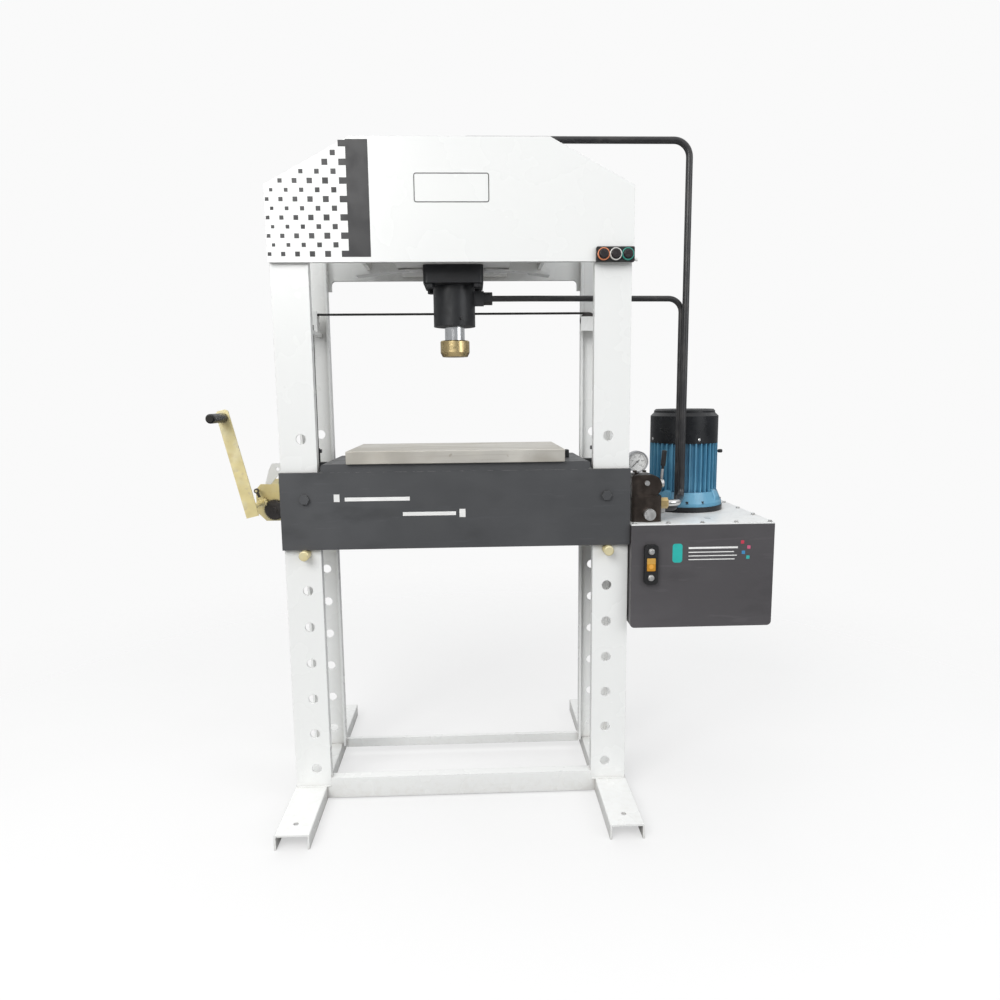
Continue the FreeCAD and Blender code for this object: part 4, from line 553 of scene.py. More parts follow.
def vinyl(name, colour, rough=0.3):
    sheet = Finish(name, colour, rough)
    sheet.tint(sheet.cloud(0.45, 0.72, 12, 4), tuple(min(1, c * 1.25 + 0.004) for c in colour), 0.6)
    sheet.roughen(sheet.cloud(0.4, 0.7, 18, 4), rough + 0.14)
    sheet.bump(sheet.noise(200, 2), 0.04, 0.2 * MM)
    return sheet.done()


def glass(name, colour, rough=0.02):
    """Thin clear cover: mostly see-through, with its own reflections."""
    clear = Finish(name, colour, rough)
    clear.shader.inputs["Alpha"].default_value = 0.10
    clear.roughen(clear.cloud(0.55, 0.75, 60, 3), rough + 0.05)
    return clear.done()


# ---- finishes of the CAD nodes
WHITE = white_enamel()
BED = charcoal_enamel("bed_enamel", (0.062, 0.064, 0.068), 0.42)
TANK = charcoal_enamel("tank_enamel", (0.078, 0.074, 0.079), 0.36)
BLACK = black_enamel("cylinder_enamel")
COWL = black_enamel("cowl_enamel", (0.006, 0.007, 0.009), 0.27, (0.06, 0.06, 0.06))
CHROME = hard_chrome()
BRASS = turned_brass()
PLATE = worn_steel_plate()
YELLOW_ZINC = yellow_zinc("zinc_yellow", (0.50, 0.40, 0.42), (0.20, 0.15, 0.09), 0.7)
ZINC = bright_zinc()
STAINLESS = bright_zinc("gauge_stainless", (0.62, 0.63, 0.64))
IRON = dark_metal("oily_steel", (0.06, 0.056, 0.056), 0.34)
VALVE = dark_metal("valve_iron", (0.040, 0.031, 0.026), 0.30, (0.22, 0.17, 0.13))
ROPE = wire_rope()
LID = pale_lid()
MOTOR = motor_enamel()
GRIP = moulded("grip_moulding", (0.016, 0.016, 0.017), 0.25)
PANEL = moulded("panel_moulding", (0.012, 0.012, 0.013), 0.42)
BUTTON = moulded("button_moulding", (0.022, 0.018, 0.020), 0.22)
NEEDLE = moulded("needle_paint", (0.012, 0.012, 0.012), 0.5)


def union_zinc():
    """Plated fittings: the upper union is yellow, and the others are bright."""
    metal = Finish("fitting_zinc", (0.72, 0.72, 0.71), 0.28)
    metal.shader.inputs["Metallic"].default_value = 0.9
    metal.soft_edges(0.6 * MM)
    metal.tint(metal.cloud(0.45, 0.7, 60, 4), (0.52, 0.52, 0.51), 0.6)
    upper = metal.between(metal.distance((0.676, side("valve_fittings", 1, 0) + 0.03, 0.985), (1, 0, 1)),
                          0.021, 0.020)
    metal.tint(upper, (0.76, 0.58, 0.28))
    # painted shade: dark tint in corners and gaps
    metal.tint(metal.corner_shade(5 * MM), (0.10, 0.09, 0.08), 0.8)
    metal.roughen(metal.cloud(0.4, 0.7, 90, 3), 0.45)
    metal.bump(metal.noise(800, 2), 0.06, 0.1 * MM)
    return metal.done()


def lever_finish():
    """Plated stick with a black moulded grip on its top."""
    metal = Finish("lever_zinc_and_grip", (0.70, 0.70, 0.69), 0.28)
    bare_z, grip_z = [joint_place("lever_tilt").z + rise for rise in (0.0472, 0.0478)]
    grip = metal.between(metal.axis(2), bare_z, grip_z)
    metal.tint(metal.cloud(0.45, 0.7, 70, 4), (0.5, 0.5, 0.49), 0.6)
    metal.tint(grip, (0.014, 0.014, 0.015))
    metal.roughen(metal.cloud(0.4, 0.7, 90, 3), 0.42)
    metal.bump(metal.noise(600, 2), 0.08, 0.1 * MM)
    metal.tree.links.new(metal.between(metal.axis(2), grip_z, bare_z), metal.shader.inputs["Metallic"])
    return metal.done()


FITTINGS = union_zinc()
BARE_TUBE_Y = side("pipe_upper", 1, 0) + 0.024
FINISH_OF = {
    WHITE: ("head_front_plate", "head_rear_plate", "head_cross_members", "column_front_right",
            "column_front_left", "column_rear_right", "column_rear_left", "foot_right", "foot_left",
            "foot_ties", "sheave_bracket_left", "sheave_bracket_right", "winch_mount"),
    BED: ("bed_front_plate", "bed_rear_plate", "bed_cross_members", "bed_top_plate", "bed_bolts"),
    TANK: ("tank_body",),
    BLACK: ("cylinder_barrel", "cylinder_gland", "flange_bolts", "cylinder_unions", "bed_fittings",
            "pump_unit"),
    COWL: ("fan_cover", "motor_adapter", "tank_fittings"),
    CHROME: ("piston_rod",),
    BRASS: ("ram_cap",),
    PLATE: ("bolster_plate",),
    YELLOW_ZINC: ("winch_frame", "support_pin_left", "support_pin_right"),
    yellow_zinc("crank_zinc", (0.55, 0.46, 0.42), (0.24, 0.18, 0.11), 0.6,
                side("crank_grip", 1, 0)): ("crank",),
    STAINLESS: ("gauge_case",),
    IRON: ("sheave_left", "sheave_right", "winch_drum", "pawl", "motor_rotor"),
    VALVE: ("valve_body",),
    ROPE: ("rope_runs", "rope_fall_left", "rope_fall_right", "rope_on_drum"),
    LID: ("tank_lid",),
    MOTOR: ("motor_body", "terminal_box"),
    GRIP: ("crank_grip",),
    PANEL: ("button_panel", "level_gauge"),
    BUTTON: ("button_red", "button_white", "button_green"),
    NEEDLE: ("gauge_needle",),
    FITTINGS: ("valve_fittings",),
    lever_finish(): ("valve_lever",),
    two_tone_pipe("pipe_upper_finish", BARE_TUBE_Y): ("pipe_upper",),
    two_tone_pipe("pipe_lower_finish", BARE_TUBE_Y): ("pipe_lower",),
}
for material, names in FINISH_OF.items():
    for node_name in names:
        for material_slot in NODES[node_name].material_slots:
            material_slot.material = material


# ---- marks on the frame and tank
HEAD_FRONT_Y = side("head_front_plate", 1, 0)
HEAD_LEFT_X = side("head_front_plate", 0, 0)
HEAD_TOP_Z = side("head_front_plate", 2, 1)
HEAD_BOTTOM_Z = side("head_front_plate", 2, 0)
HEAD_SHOULDER_Z = 1.964
HEAD_SLOPE_END_X = -0.297
SLOPE_MARGIN = 3 * MM
VINYL_THICK = 0.35 * MM
VINYL_LIFT = 0.02 * MM


def inside_chamfer(x, z):
    """Whether a point of the head's face is under the slope of its upper left corner."""
    slope = (HEAD_TOP_Z - HEAD_SHOULDER_Z) / (HEAD_SLOPE_END_X - HEAD_LEFT_X)
    return z < HEAD_SHOULDER_Z + (x - HEAD_LEFT_X) * slope - SLOPE_MARGIN


def decal_outlines():
    """The dark band with its teeth, and the squares that shrink away from it."""
    right, tip, notch = -0.244, -0.331, -0.3095
    low, high = HEAD_BOTTOM_Z + 0.015, HEAD_TOP_Z - 0.009
    tooth_high, pitch, first = 0.0185, 0.0524, HEAD_BOTTOM_Z + 0.024
    teeth = [first + pitch * n for n in range(7)]
    outlines = [rectangle(notch, right, low, high)]
    outlines += [rectangle(tip, notch, max(z - tooth_high / 2, low), min(z + tooth_high / 2, high))
                 for z in teeth]
    for k in range(5):
        x = -0.372 - 0.0475 * k + 0.001 * k * k
        half = (0.0175 - 0.0017 * k) / 2
        outlines += [rectangle(x - half, x + half, z - half, z + half) for z in teeth
                     if inside_chamfer(x - half, z + half)]
        x = -0.3475 - 0.0495 * k + 0.0008 * k * k
        half = (0.0152 - 0.0014 * k) / 2
        outlines += [rectangle(x - half, x + half, z - half, z + half)
                     for z in [t + pitch / 2 for t in teeth[:-1]] if inside_chamfer(x - half, z + half)]
    return outlines


def flat_marks(name, outlines, face_y, body, material):
    """Thin vinyl or paint shapes that lie on a face whose normal is -Y."""
    bm = bmesh.new()
    for outline in outlines:
        add_prism(bm, outline, face_y - VINYL_THICK, face_y - VINYL_LIFT)
    return add_piece(name, bm, body, material)


DARK_VINYL = vinyl("decal_vinyl", (0.022, 0.022, 0.024), 0.34)
WHITE_PAINT = vinyl("mark_paint_white", (0.80, 0.80, 0.79), 0.4)
flat_marks("head_decal", decal_outlines(), HEAD_FRONT_Y, "frame", DARK_VINYL)

plate_outer = rounded_rectangle(-0.1112, 0.1143, 1.9128, 1.9972, 0.0075)
plate_inner = rounded_rectangle(-0.1086, 0.1117, 1.9154, 1.9946, 0.0049)
outline_bm = bmesh.new()
add_frame_prism(outline_bm, plate_outer, plate_inner, HEAD_FRONT_Y - VINYL_THICK, HEAD_FRONT_Y - VINYL_LIFT)
add_piece("nameplate_outline", outline_bm, "frame", DARK_VINYL)

BED_FRONT_Y = side("bed_front_plate", 1, 0)
bed_shapes = [rectangle(-0.386, -0.368, 1.012, 1.036), rectangle(0.008, 0.027, 0.958, 0.984),
              rectangle(-0.352, -0.148, 1.0135, 1.0255), rectangle(-0.171, -0.003, 0.9645, 0.9765)]
flat_marks("bed_marks", bed_shapes, BED_FRONT_Y, "bed", WHITE_PAINT)

TANK_FRONT_Y = side("tank_body", 1, 0)
tank_bars = [rectangle(0.742, 0.902, 0.8440, 0.8500), rectangle(0.742, 0.890, 0.8315, 0.8345),
             rectangle(0.742, 0.900, 0.8195, 0.8225), rectangle(0.742, 0.893, 0.8075, 0.8105)]
flat_marks("tank_marks", tank_bars, TANK_FRONT_Y, "frame", WHITE_PAINT)
TANK_SQUARES = {
    "red": (0.917, 0.864, (0.55, 0.05, 0.09)),
    "rose": (0.938, 0.847, (0.60, 0.12, 0.22)),
    "blue": (0.921, 0.830, (0.06, 0.26, 0.50)),
    "teal": (0.936, 0.814, (0.04, 0.42, 0.40)),
}
half = 5.5 * MM
for mark, (x, z, colour) in TANK_SQUARES.items():
    flat_marks("tank_mark_" + mark, [rounded_rectangle(x - half, x + half, z - half, z + half, 1.5 * MM)],
               TANK_FRONT_Y, "frame", vinyl("mark_vinyl_" + mark, colour))
swatch = [rounded_rectangle(0.690, 0.722, 0.800, 0.862, 9 * MM)]
flat_marks("tank_mark_block", swatch, TANK_FRONT_Y, "frame",
           vinyl("mark_vinyl_block", (0.03, 0.44, 0.40)))


# ---- push-button rings
def button_collar(name, button, ring_colour, inner_colour):
    """Coloured ring round a push button, with a dark inner ring, over the panel's own bezel."""
    place = middle(button)
    front = side("button_panel", 1, 0) - 0.5 * MM
    back = front + 7.2 * MM
    bm = bmesh.new()
    depth = back - front
    profile = [(0.01870, 0), (0.01885, depth * 0.75), (0.0181, depth - 0.4 * MM), (0.0174, depth),
               (0.0160, depth), (0.0152, depth - 0.9 * MM), (0.01360, depth - 1.2 * MM),
               (0.01335, depth - 1.6 * MM), (0.01335, depth - 3 * MM), (0.0183, depth - 3.2 * MM),
               (0.0183, 0)]
    add_lathe(bm, profile, (place.x, back, place.z), (0, -1, 0), 64)
    ring = Finish(name + "_finish", ring_colour, 0.32, coat=0.2)
    inner = ring.between(ring.distance((place.x, 0, place.z), (1, 0, 1)), 0.01585, 0.0157)
    ring.tint(ring.cloud(0.45, 0.7, 80, 4), scaled(ring_colour, 0.8), 0.6)
    ring.tint(inner, inner_colour)
    ring.roughen(ring.cloud(0.4, 0.7, 90, 3), 0.45)
    ring.bump(ring.noise(700, 2), 0.08, 0.2 * MM)
    return add_piece(name, bm, "frame", ring.done())


button_collar("button_collar_red", "button_red", (0.80, 0.27, 0.12), (0.10, 0.018, 0.014))
button_collar("button_collar_white", "button_white", (0.76, 0.75, 0.72), (0.16, 0.13, 0.12))
button_collar("button_collar_green", "button_green", (0.035, 0.32, 0.25), (0.05, 0.06, 0.05))


# ---- pressure gauge
DIAL = joint_place("needle_turn")
DIAL_Y = side("gauge_needle", 1, 1) + 2.7 * MM
DIAL_RADIUS = 0.0312
SCALE_START, SCALE_SWEEP = 45, 270
MARK_Y = DIAL_Y - 0.15 * MM, DIAL_Y - 0.01 * MM


def polar(center, radius, turn_deg):
    """Point on the dial at an angle clockwise from straight down, seen from the front."""
    turn = math.radians(turn_deg)
    return center[0] - radius * math.sin(turn), center[1] - radius * math.cos(turn)


def gauge_dial():
    bm = bmesh.new()
    add_lathe(bm, [(0, 0), (DIAL_RADIUS, 0), (DIAL_RADIUS, 0.5 * MM), (0, 0.5 * MM)],
              (DIAL.x, DIAL_Y + 0.5 * MM, DIAL.z), (0, -1, 0), 64)
    dial = Finish("dial_white", (0.80, 0.80, 0.79), 0.4)
    dial.tint(dial.cloud(0.5, 0.75, 30, 4), (0.72, 0.72, 0.70), 0.4)
    dial.bump(dial.noise(300, 2), 0.03, 0.1 * MM)
    add_piece("gauge_dial", bm, "frame", dial.done())
    marks = bmesh.new()
    center = (DIAL.x, DIAL.z)
    for i in range(51):
        turn = SCALE_START + SCALE_SWEEP * i / 50
        long = i % 10 == 0
        inner = 0.0212 if long else (0.0230 if i % 5 == 0 else 0.0242)
        half = 1.6 if long else 0.7
        outline = [polar(center, inner, turn - half * 0.9), polar(center, 0.0268, turn - half * 0.72),
                   polar(center, 0.0268, turn + half * 0.72), polar(center, inner, turn + half * 0.9)]
        add_prism(marks, outline, *MARK_Y)
    steps = 60
    outer, inner = [[polar(center, radius, SCALE_START + SCALE_SWEEP * i / steps) for i in range(steps + 1)]
                    for radius in (0.0277, 0.0272)]
    for i in range(steps):
        add_prism(marks, [outer[i], outer[i + 1], inner[i + 1], inner[i]], *MARK_Y)
    add_piece("gauge_scale", marks, "frame", NEEDLE)
    figures = bpy.data.curves.new("gauge_figures_text", "FONT")
    figures.size = 0.0058
    figures.align_x = "CENTER"
    figures.align_y = "CENTER"
    figures.extrude = 0.07 * MM
    meshes = bmesh.new()
    for i, text in enumerate(("0", "100", "200", "300", "400", "500")):
        figures.body = text
        holder = bpy.data.objects.new("figure_holder", figures)
        bpy.context.scene.collection.objects.link(holder)
        bpy.context.view_layer.update()
        flat = bpy.data.meshes.new_from_object(holder.evaluated_get(bpy.context.evaluated_depsgraph_get()))
        x, z = polar(center, 0.0168, 45 + 54 * i)
        flat.transform(Matrix.Translation((x, DIAL_Y - 0.09 * MM, z)) @ Matrix.Rotation(math.pi / 2, 4, "X"))
        meshes.from_mesh(flat)
        bpy.data.objects.remove(holder)
        bpy.data.meshes.remove(flat)
    add_piece("gauge_figures", meshes, "frame", NEEDLE)
    window = bmesh.new()
    front = side("gauge_case", 1, 0)
    add_lathe(window, [(0, 0), (0.0310, 0), (0.0310, 2.0 * MM), (0.0290, 2.5 * MM), (0, 2.7 * MM)],
              (DIAL.x, front + 3.2 * MM, DIAL.z), (0, -1, 0), 64)
    add_piece("gauge_glass", window, "frame",
              glass("gauge_window", (0.97, 0.98, 0.97)))


gauge_dial()


# ---- oil level gauge
def level_parts():
    center = middle("level_gauge")
    front = side("level_gauge", 1, 0)
    half_x, half_z = 14.6 * MM, 21.6 * MM
    bm = bmesh.new()
    outline = rounded_rectangle(center.x - half_x, center.x + half_x, center.z - half_z, center.z + half_z, 4 * MM)
    small = rounded_rectangle(center.x - half_x + MM, center.x + half_x - MM, center.z - half_z + MM,
                              center.z + half_z - MM, 3.2 * MM)
    layers = [[bm.verts.new((x, y, z)) for x, z in ring] for ring, y in
              ((outline, front + 4.9 * MM), (outline, front + 2.2 * MM), (small, front + 1.2 * MM))]
    join_rings(bm, layers)
    bm.faces.new(layers[0])
    bm.faces.new(layers[-1])
    oil = Finish("level_window_amber", (0.58, 0.27, 0.03), 0.12, coat=0.6, coat_rough=0.05)
    oil_top = oil.between(oil.axis(2), center.z + 2 * MM, center.z + 3 * MM)
    oil.tint(oil_top, (0.66, 0.40, 0.10), 0.8)
    oil.tint(oil.between(oil.distance((center.x, 0, center.z - 6 * MM), (1, 0, 1)), 7.5 * MM, 7.0 * MM),
             (0.86, 0.44, 0.08), 0.8)
    oil.tint(oil.cloud(0.5, 0.72, 60, 4), (0.60, 0.32, 0.05), 0.5)
    oil.bump(oil.noise(250, 2), 0.04, 0.1 * MM)
    add_piece("level_window", bm, "frame", oil.done(), 40)
    heads = bmesh.new()
    for z in (center.z + 43 * MM, center.z - 43 * MM):
        add_hex_head(heads, (center.x, front - 0.01 * MM, z), (0, -1, 0), 15 * MM, 6.5 * MM, 10 * MM)
    add_piece("level_bolts", heads, "frame", ZINC)


level_parts()


# ---- wire rope
ROPE_RADIUS = 4 * MM
STRANDS = 6
LAY = 50 * MM


def along_line(start, end, gap):
    start, end = Vector(start), Vector(end)
    count = max(2, int((end - start).length / gap))
    return [start.lerp(end, i / count) for i in range(count + 1)]


def along_arc(center, radius, start_deg, end_deg, y, gap):
    count = max(4, int(abs(math.radians(end_deg - start_deg)) * radius / gap))
    points = []
    for i in range(count + 1):
        turn = math.radians(start_deg + (end_deg - start_deg) * i / count)
        points.append(Vector((center.x + radius * math.cos(turn), y, center.z + radius * math.sin(turn))))
    return points


def joined(*runs):
    """Runs of points, end to end, without doubled points."""
    points = []
    for run in runs:
        points += [p for p in run if not points or (p - points[-1]).length > 0.3 * MM]
    return points


def add_rope(bm, points, sides=6):
    """Six strands laid round a path, and a core."""
    travelled = [0.0]
    for a, b in zip(points, points[1:]):
        travelled.append(travelled[-1] + (b - a).length)
    strand_radius = ROPE_RADIUS / 3
    orbit = ROPE_RADIUS - strand_radius
    across = None
    frames = []
    for i, point in enumerate(points):
        along = (points[min(i + 1, len(points) - 1)] - points[max(i - 1, 0)]).normalized()
        if across is None:
            across = along.orthogonal().normalized()
        across = (across - along * across.dot(along)).normalized()
        frames.append((point, across.copy(), along.cross(across)))
    for strand in range(STRANDS):
        path = []
        for (point, right, up), way in zip(frames, travelled):
            turn = 2 * math.pi * (way / LAY + strand / STRANDS)
            path.append(point + orbit * (right * math.cos(turn) + up * math.sin(turn)))
        add_tube(bm, path, [strand_radius * 1.02] * len(path), sides)
    add_tube(bm, points, [orbit * 0.72] * len(points), 5)


LEFT = joint_place("sheave_left_spin")
RIGHT = joint_place("sheave_right_spin")
DRUM = joint_place("drum_spin")
SHEAVE_R = 24 * MM
DRUM_R = 28 * MM
LEFT_Y = middle("rope_fall_left").y
RIGHT_Y = middle("rope_fall_right").y
GAP = 4.2 * MM


def tangent_between(low, low_radius, high, high_radius):
    """Straight run that touches both circles on their left: its two ends and its angle."""
    apart = high - low
    distance = math.hypot(apart.x, apart.z)
    base = math.atan2(apart.z, apart.x)
    lean = math.acos((low_radius - high_radius) / distance)
    turn = base + lean
    direction = Vector((math.cos(turn), 0, math.sin(turn)))
    return low + direction * low_radius, high + direction * high_radius, math.degrees(turn)


def fixed_rope_runs():
    bm = bmesh.new()
    start, end, turn = tangent_between(DRUM, DRUM_R, LEFT, SHEAVE_R)
    for y, crosses in ((LEFT_Y, False), (RIGHT_Y, True)):
        rise = along_line((start.x, y, start.z), (end.x, y, end.z), GAP)
        if crosses:
            path = joined(rise, along_arc(LEFT, SHEAVE_R, turn, 90, y, GAP / 2),
                          along_line((LEFT.x, y, LEFT.z + SHEAVE_R), (RIGHT.x, y, RIGHT.z + SHEAVE_R), GAP),
                          along_arc(RIGHT, SHEAVE_R, 90, 0, y, GAP / 2))
        else:
            path = joined(rise, along_arc(LEFT, SHEAVE_R, turn, 0, y, GAP / 2))
        add_rope(bm, path)
    piece = add_piece("rope_run_strands", bm, "frame", ROPE, 60)
    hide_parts("rope_runs")


def rope_fall(name, node):
    low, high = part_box(node)
    x, y = (low.x + high.x) / 2, (low.y + high.y) / 2
    bm = bmesh.new()
    add_rope(bm, along_line((x, y, high.z), (x, y, low.z), GAP))
    piece = add_piece(name, bm, "frame", ROPE, 60)
    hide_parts(node)
    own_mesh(piece)


def drum_rope():
    low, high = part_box("rope_on_drum")
    bm = bmesh.new()
    turns = int((high.y - low.y - 2 * ROPE_RADIUS) / (2.06 * ROPE_RADIUS))
    steps = 60
    points = []
    for i in range(turns * steps + 1):
        turn = -2 * math.pi * i / steps
        y = low.y + ROPE_RADIUS + (high.y - low.y - 2 * ROPE_RADIUS) * i / (turns * steps)
        points.append(Vector((DRUM.x + DRUM_R * math.cos(turn), y, DRUM.z + DRUM_R * math.sin(turn))))
    add_rope(bm, points, sides=5)
    piece = add_piece("drum_rope_turns", bm, "drum", ROPE, 60)
    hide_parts("rope_on_drum")


fixed_rope_runs()
rope_fall("rope_fall_left_strands", "rope_fall_left")
rope_fall("rope_fall_right_strands", "rope_fall_right")
drum_rope()


# ---- welds
def add_bead(bm, start, end, radius, seed):
    """Weld bead along a corner: a ribbed round line with small steps along it."""
    rng = random.Random(seed)
    start, end = Vector(start), Vector(end)
    count = max(6, int((end - start).length / (1.7 * MM)))
    points, radii = [], []
    for i in range(count + 1):
        points.append(start.lerp(end, i / count))
        ripple = 1 + 0.16 * math.sin(i * 2.1) + rng.uniform(-0.08, 0.08)
        radii.append(radius * ripple * min(1, 0.45 + min(i, count - i) * 0.22))
    add_tube(bm, points, radii, 8)


def weld_beads():
    """Beads under the front plate and round the columns' feet."""
    bm = bmesh.new()
    seed = 7
    foot_top = side("foot_left", 2, 1)
    for depth, y_out in (("front", -1), ("rear", 1)):
        for hand, x_out in (("left", -1), ("right", 1)):
            low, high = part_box(f"column_{depth}_{hand}")
            y = low.y if y_out < 0 else high.y
            outer_x = low.x if x_out < 0 else high.x
            lines = []
            if depth == "front":
                z = side("head_front_plate", 2, 0) - 0.6 * MM
                lines.append(((low.x + 3 * MM, y - 0.6 * MM, z), (high.x - 3 * MM, y - 0.6 * MM, z), 2.4 * MM))
            face_y, face_z = y + y_out * 0.7 * MM, foot_top + 0.4 * MM
            lines.append(((low.x + 2 * MM, face_y, face_z), (high.x - 2 * MM, face_y, face_z), 2.6 * MM))
            side_x, side_z = outer_x + x_out * 0.5 * MM, foot_top + 0.5 * MM
            lines.append(((side_x, low.y + 2 * MM, side_z), (side_x, high.y - 2 * MM, side_z), 2.6 * MM))
            for start, end, radius in lines:
                add_bead(bm, start, end, radius, seed)
                seed += 1
    add_piece("weld_beads", bm, "frame", WHITE, 60)


weld_beads()


# ---- power pack details
MOTOR_AXIS = Vector((joint_place("rotor_spin").x, joint_place("rotor_spin").y, 0))
FLANGE_TOP = side("motor_body", 2, 0)
LUG_NEAR, LUG_CORNER = 0.098, 4 * MM


def above(z):
    return Vector((0, 0, z))


def cowl_screws():
    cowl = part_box("fan_cover")
    radius = (cowl[1].x - cowl[0].x) / 2
    bm = bmesh.new()
    for turn_deg in (-80, 10, 100, 190):
        out = around(turn_deg)
        place = MOTOR_AXIS + out * (radius - 0.2 * MM) + above(cowl[0].z + 14 * MM)
        add_screw_head(bm, place, out, 5.2 * MM, 3 * MM)
    add_piece("cowl_screws", bm, "frame", ZINC)


def motor_flange_bolts():
    bm = bmesh.new()
    for turn_deg in (-75, -10, 15, 81, 105, 171, 195, 261):
        place = MOTOR_AXIS + around(turn_deg) * 0.1295 + above(FLANGE_TOP + 12.0 * MM)
        add_hex_head(bm, place, (0, 0, 1), 13 * MM, 7 * MM, 9 * MM)
    add_piece("motor_flange_bolts", bm, "frame", BLACK)


def motor_lugs():
    """Tapered cast ears between the motor's ribs and its flange."""
    low_z, high_z = FLANGE_TOP + 11.8 * MM, FLANGE_TOP + 58 * MM
    sections = ((0.134, 0.021, low_z), (0.134, 0.019, low_z + 20 * MM),
                (0.124, 0.015, high_z - 6 * MM), (0.116, 0.012, high_z))
    bm = bmesh.new()
    for turn_deg in (-42, 48, 138, 228):
        out = around(turn_deg)
        across = Vector((-out.y, out.x, 0))
        rings = []
        for reach, half_wide, z in sections:
            plan = [(LUG_NEAR, -half_wide), (reach - LUG_CORNER, -half_wide), (reach, -half_wide + LUG_CORNER),
                    (reach, half_wide - LUG_CORNER), (reach - LUG_CORNER, half_wide), (LUG_NEAR, half_wide)]
            rings.append([bm.verts.new(MOTOR_AXIS + out * a + across * b + above(z)) for a, b in plan])
        join_rings(bm, rings)
        bm.faces.new(rings[0])
        bm.faces.new(rings[-1])
    add_piece("motor_lugs", bm, "frame", MOTOR, 25)


def motor_cable_stub():
    bm = bmesh.new()
    add_lathe(bm, [(0, 0), (4.5 * MM, 0), (4.5 * MM, 12 * MM), (6.5 * MM, 13 * MM), (6.5 * MM, 24 * MM),
                   (5 * MM, 26 * MM), (0, 26 * MM)],
              MOTOR_AXIS + Vector((0.1165, 0, FLANGE_TOP + 0.187)), (1, 0, 0), 24)
    add_piece("motor_cable_stub", bm, "frame", PANEL)


def lid_screws():
    """Bolts along all four edges of the tank's lid."""
    low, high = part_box("tank_lid")
    inset = 12 * MM

    def spread(axis, i):
        return low[axis] + inset + (high[axis] - low[axis] - 2 * inset) * i / 4

    places = [(spread(0, i), y) for i in range(5) for y in (low.y + inset, high.y - inset)]
    places += [(x, spread(1, i)) for i in (1, 2, 3) for x in (high.x - inset, low.x + inset)]
    bm = bmesh.new()
    for x, y in places:
        add_hex_head(bm, (x, y, high.z - 0.01 * MM), (0, 0, 1), 10 * MM, 4.5 * MM, 8 * MM)
    add_piece("lid_screws", bm, "frame", ZINC)


cowl_screws()
motor_flange_bolts()
motor_lugs()
motor_cable_stub()
lid_screws()


def panel_knob():
    """Small white knob at the button panel's lower right corner."""
    low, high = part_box("button_panel")
    bm = bmesh.new()
    add_lathe(bm, [(0, 0), (3.0 * MM, 0), (3.0 * MM, 5 * MM), (5.2 * MM, 6 * MM), (5.6 * MM, 9 * MM),
                   (4.2 * MM, 11.5 * MM), (0, 12.2 * MM)],
              (high.x - 1.5 * MM, high.y - 5 * MM, low.z + 7 * MM), (1, -0.25, 0), 28)
    add_piece("panel_knob", bm, "frame", WHITE_PAINT)


panel_knob()


def valve_screws():
    """Socket screws that hold the valve's two blocks together."""
    low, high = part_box("valve_body")
    bm = bmesh.new()
    for x in (low.x + 9 * MM, low.x + 40 * MM):
        for y in (low.y + 10 * MM, high.y - 10 * MM):
            add_lathe(bm, [(0, 0), (6.2 * MM, 0), (6.5 * MM, 0.5 * MM), (6.5 * MM, 5.6 * MM), (6.0 * MM, 6.2 * MM),
                           (3.2 * MM, 6.2 * MM), (3.0 * MM, 3.0 * MM), (0, 2.6 * MM)],
                      (x, y, high.z - 0.02 * MM), (0, 0, 1), 28)
    add_piece("valve_screws", bm, "frame", VALVE)


valve_screws()


# ---- floor, light and camera
FLOOR_X = 0.15
FLOOR_RINGS = (1.2, 2.4, 3.6, 5.2)
FLOOR_SIDES = 72
FLOOR_FADE = 1.3, 3.4
FLOOR_GLOW = 0.55
SEEN_GREY = 0.955
STUDIO_STRENGTH = 0.72


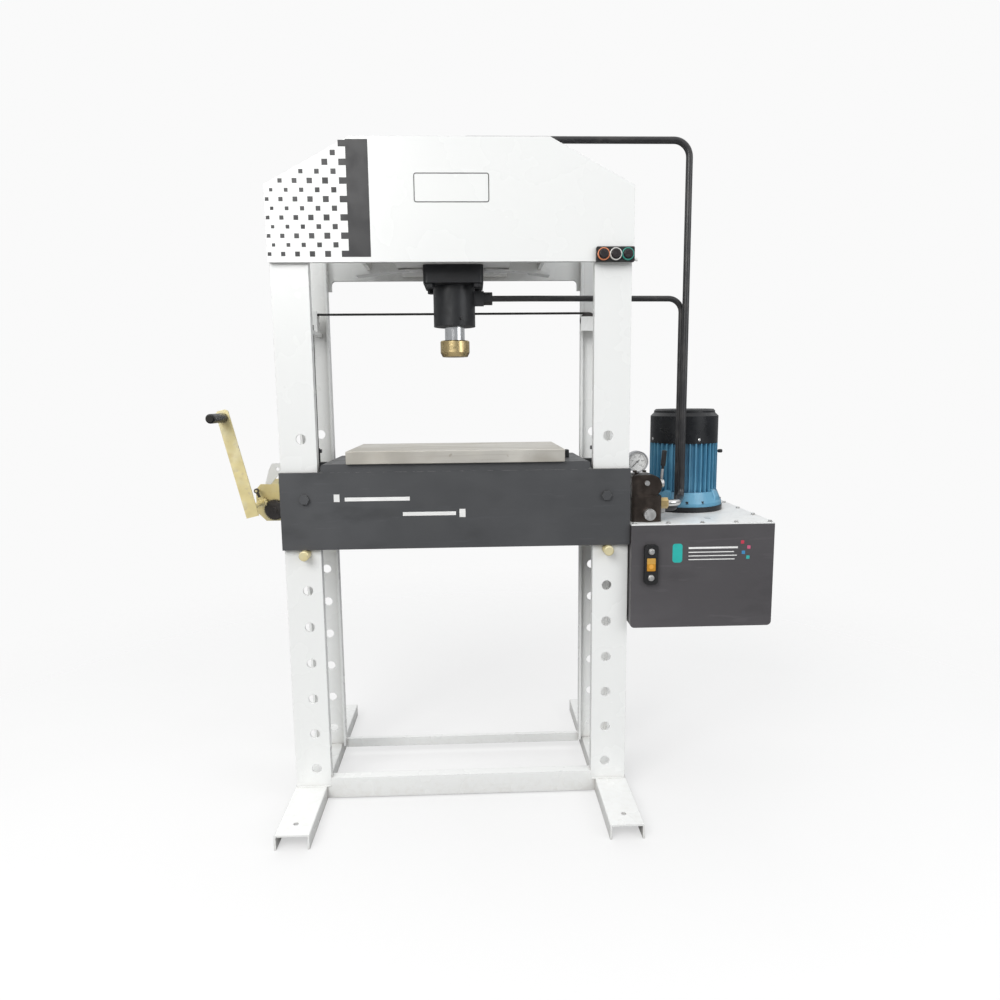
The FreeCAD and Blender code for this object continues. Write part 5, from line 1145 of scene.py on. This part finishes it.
def floor():
    """Pale disc that fades into the background."""
    bm = bmesh.new()
    center = bm.verts.new((FLOOR_X, 0, 0))
    last = None
    for radius in FLOOR_RINGS:
        turns = [2 * math.pi * i / FLOOR_SIDES for i in range(FLOOR_SIDES)]
        ring = [bm.verts.new((FLOOR_X + radius * math.cos(turn), radius * math.sin(turn), 0)) for turn in turns]
        for i in range(FLOOR_SIDES):
            j = (i + 1) % FLOOR_SIDES
            if last is None:
                bm.faces.new((center, ring[i], ring[j]))
            else:
                bm.faces.new((last[i], ring[i], ring[j], last[j]))
        last = ring
    mesh = bpy.data.meshes.new("floor")
    bm.to_mesh(mesh)
    bm.free()
    ground = bpy.data.objects.new("floor", mesh)
    ground.location.z = -0.2 * MM
    bpy.context.scene.collection.objects.link(ground)
    paint = Finish("floor_white", (0.86, 0.86, 0.86), 0.6, specular=0.2)
    paint.tint(paint.cloud(0.45, 0.75, 1.5, 3), (0.83, 0.83, 0.83), 0.5)
    material = paint.done()
    clear = paint.node("ShaderNodeBsdfTransparent")
    glow = paint.node("ShaderNodeEmission")
    glow.inputs["Color"].default_value = (0.95, 0.95, 0.95, 1)
    dull = paint.node("ShaderNodeBsdfDiffuse")
    dull.inputs["Color"].default_value = (0.42, 0.42, 0.42, 1)
    path = paint.node("ShaderNodeLightPath")
    lifted = paint.node("ShaderNodeMixShader")
    lifted.inputs[0].default_value = FLOOR_GLOW
    seen = paint.node("ShaderNodeMixShader")
    faded = paint.node("ShaderNodeMixShader")
    far = paint.between(paint.distance((FLOOR_X, 0, 0), (1, 1, 0)), *FLOOR_FADE)
    surface = paint.tree.nodes["Material Output"].inputs["Surface"]
    for out, socket in ((paint.shader.outputs[0], lifted.inputs[1]), (glow.outputs[0], lifted.inputs[2]),
                        (path.outputs["Is Camera Ray"], seen.inputs[0]), (dull.outputs[0], seen.inputs[1]),
                        (lifted.outputs[0], seen.inputs[2]), (far, faded.inputs[0]),
                        (seen.outputs[0], faded.inputs[1]), (clear.outputs[0], faded.inputs[2]),
                        (faded.outputs[0], surface)):
        paint.tree.links.new(out, socket)
    ground.data.materials.append(material)


def world():
    """Even pale background for the camera, and light that is brighter from above for everything else."""
    made = bpy.data.worlds.new("studio")
    made.use_nodes = True
    bpy.context.scene.world = made
    tree = made.node_tree
    tree.nodes.clear()
    output, path, seen, light, place, split, ramp, scale, mix = [
        tree.nodes.new("ShaderNode" + kind) for kind in
        ("OutputWorld", "LightPath", "Background", "Background", "TexCoord", "SeparateXYZ", "ValToRGB", "Math",
         "MixShader")]
    seen.inputs["Color"].default_value = (SEEN_GREY, SEEN_GREY, SEEN_GREY, 1)
    light.inputs["Strength"].default_value = STUDIO_STRENGTH
    below, overhead = ramp.color_ramp.elements
    below.position, below.color = 0.42, (0.22, 0.22, 0.23, 1)
    overhead.position, overhead.color = 0.85, (1.45, 1.45, 1.45, 1)
    ramp.color_ramp.elements.new(0.56).color = (0.60, 0.61, 0.62, 1)
    scale.operation = "MULTIPLY_ADD"
    scale.inputs[1].default_value = 0.5
    scale.inputs[2].default_value = 0.5
    for out, socket in ((place.outputs["Generated"], split.inputs["Vector"]),
                        (split.outputs["Z"], scale.inputs[0]), (scale.outputs["Value"], ramp.inputs["Fac"]),
                        (ramp.outputs["Color"], light.inputs["Color"]),
                        (path.outputs["Is Camera Ray"], mix.inputs[0]), (light.outputs[0], mix.inputs[1]),
                        (seen.outputs[0], mix.inputs[2]), (mix.outputs[0], output.inputs["Surface"])):
        tree.links.new(out, socket)


def area_light(name, place, target, size, power, colour=(1, 1, 1)):
    light = bpy.data.lights.new(name, "AREA")
    light.shape = "SQUARE"
    light.size = size
    light.energy = power
    light.color = colour
    lamp = bpy.data.objects.new(name, light)
    lamp.location = place
    lamp.rotation_euler = (Vector(target) - Vector(place)).to_track_quat("-Z", "Y").to_euler()
    bpy.context.scene.collection.objects.link(lamp)


CAMERA_PLACE = (0.05209, -2.45259, 1.33521)
YAW, PITCH, ROLL = -0.0373, -0.1415, 0.0102
LENS_MM, SENSOR_MM = 26.116, 36


def camera():
    """The photograph's own viewpoint, as fitted to the frame."""
    data = bpy.data.cameras.new("camera")
    data.lens = LENS_MM
    data.sensor_width = SENSOR_MM
    lens = bpy.data.objects.new("camera", data)
    turn = (Matrix.Rotation(YAW, 4, "Z") @ Matrix.Rotation(PITCH, 4, "X") @ Matrix.Rotation(ROLL, 4, "Y")
            @ Matrix.Rotation(math.pi / 2, 4, "X"))
    lens.matrix_world = Matrix.Translation(CAMERA_PLACE) @ turn
    bpy.context.scene.collection.objects.link(lens)
    bpy.context.scene.camera = lens


floor()
world()
area_light("key", (-1.8, -3.4, 3.4), (0, 0, 1.1), 2.4, 104, (1.0, 0.995, 0.98))
area_light("fill", (3.0, -2.4, 2.2), (0.3, 0, 1.0), 2.0, 30, (0.97, 0.985, 1.0))
camera()
bpy.context.scene.view_settings.view_transform = "Standard"
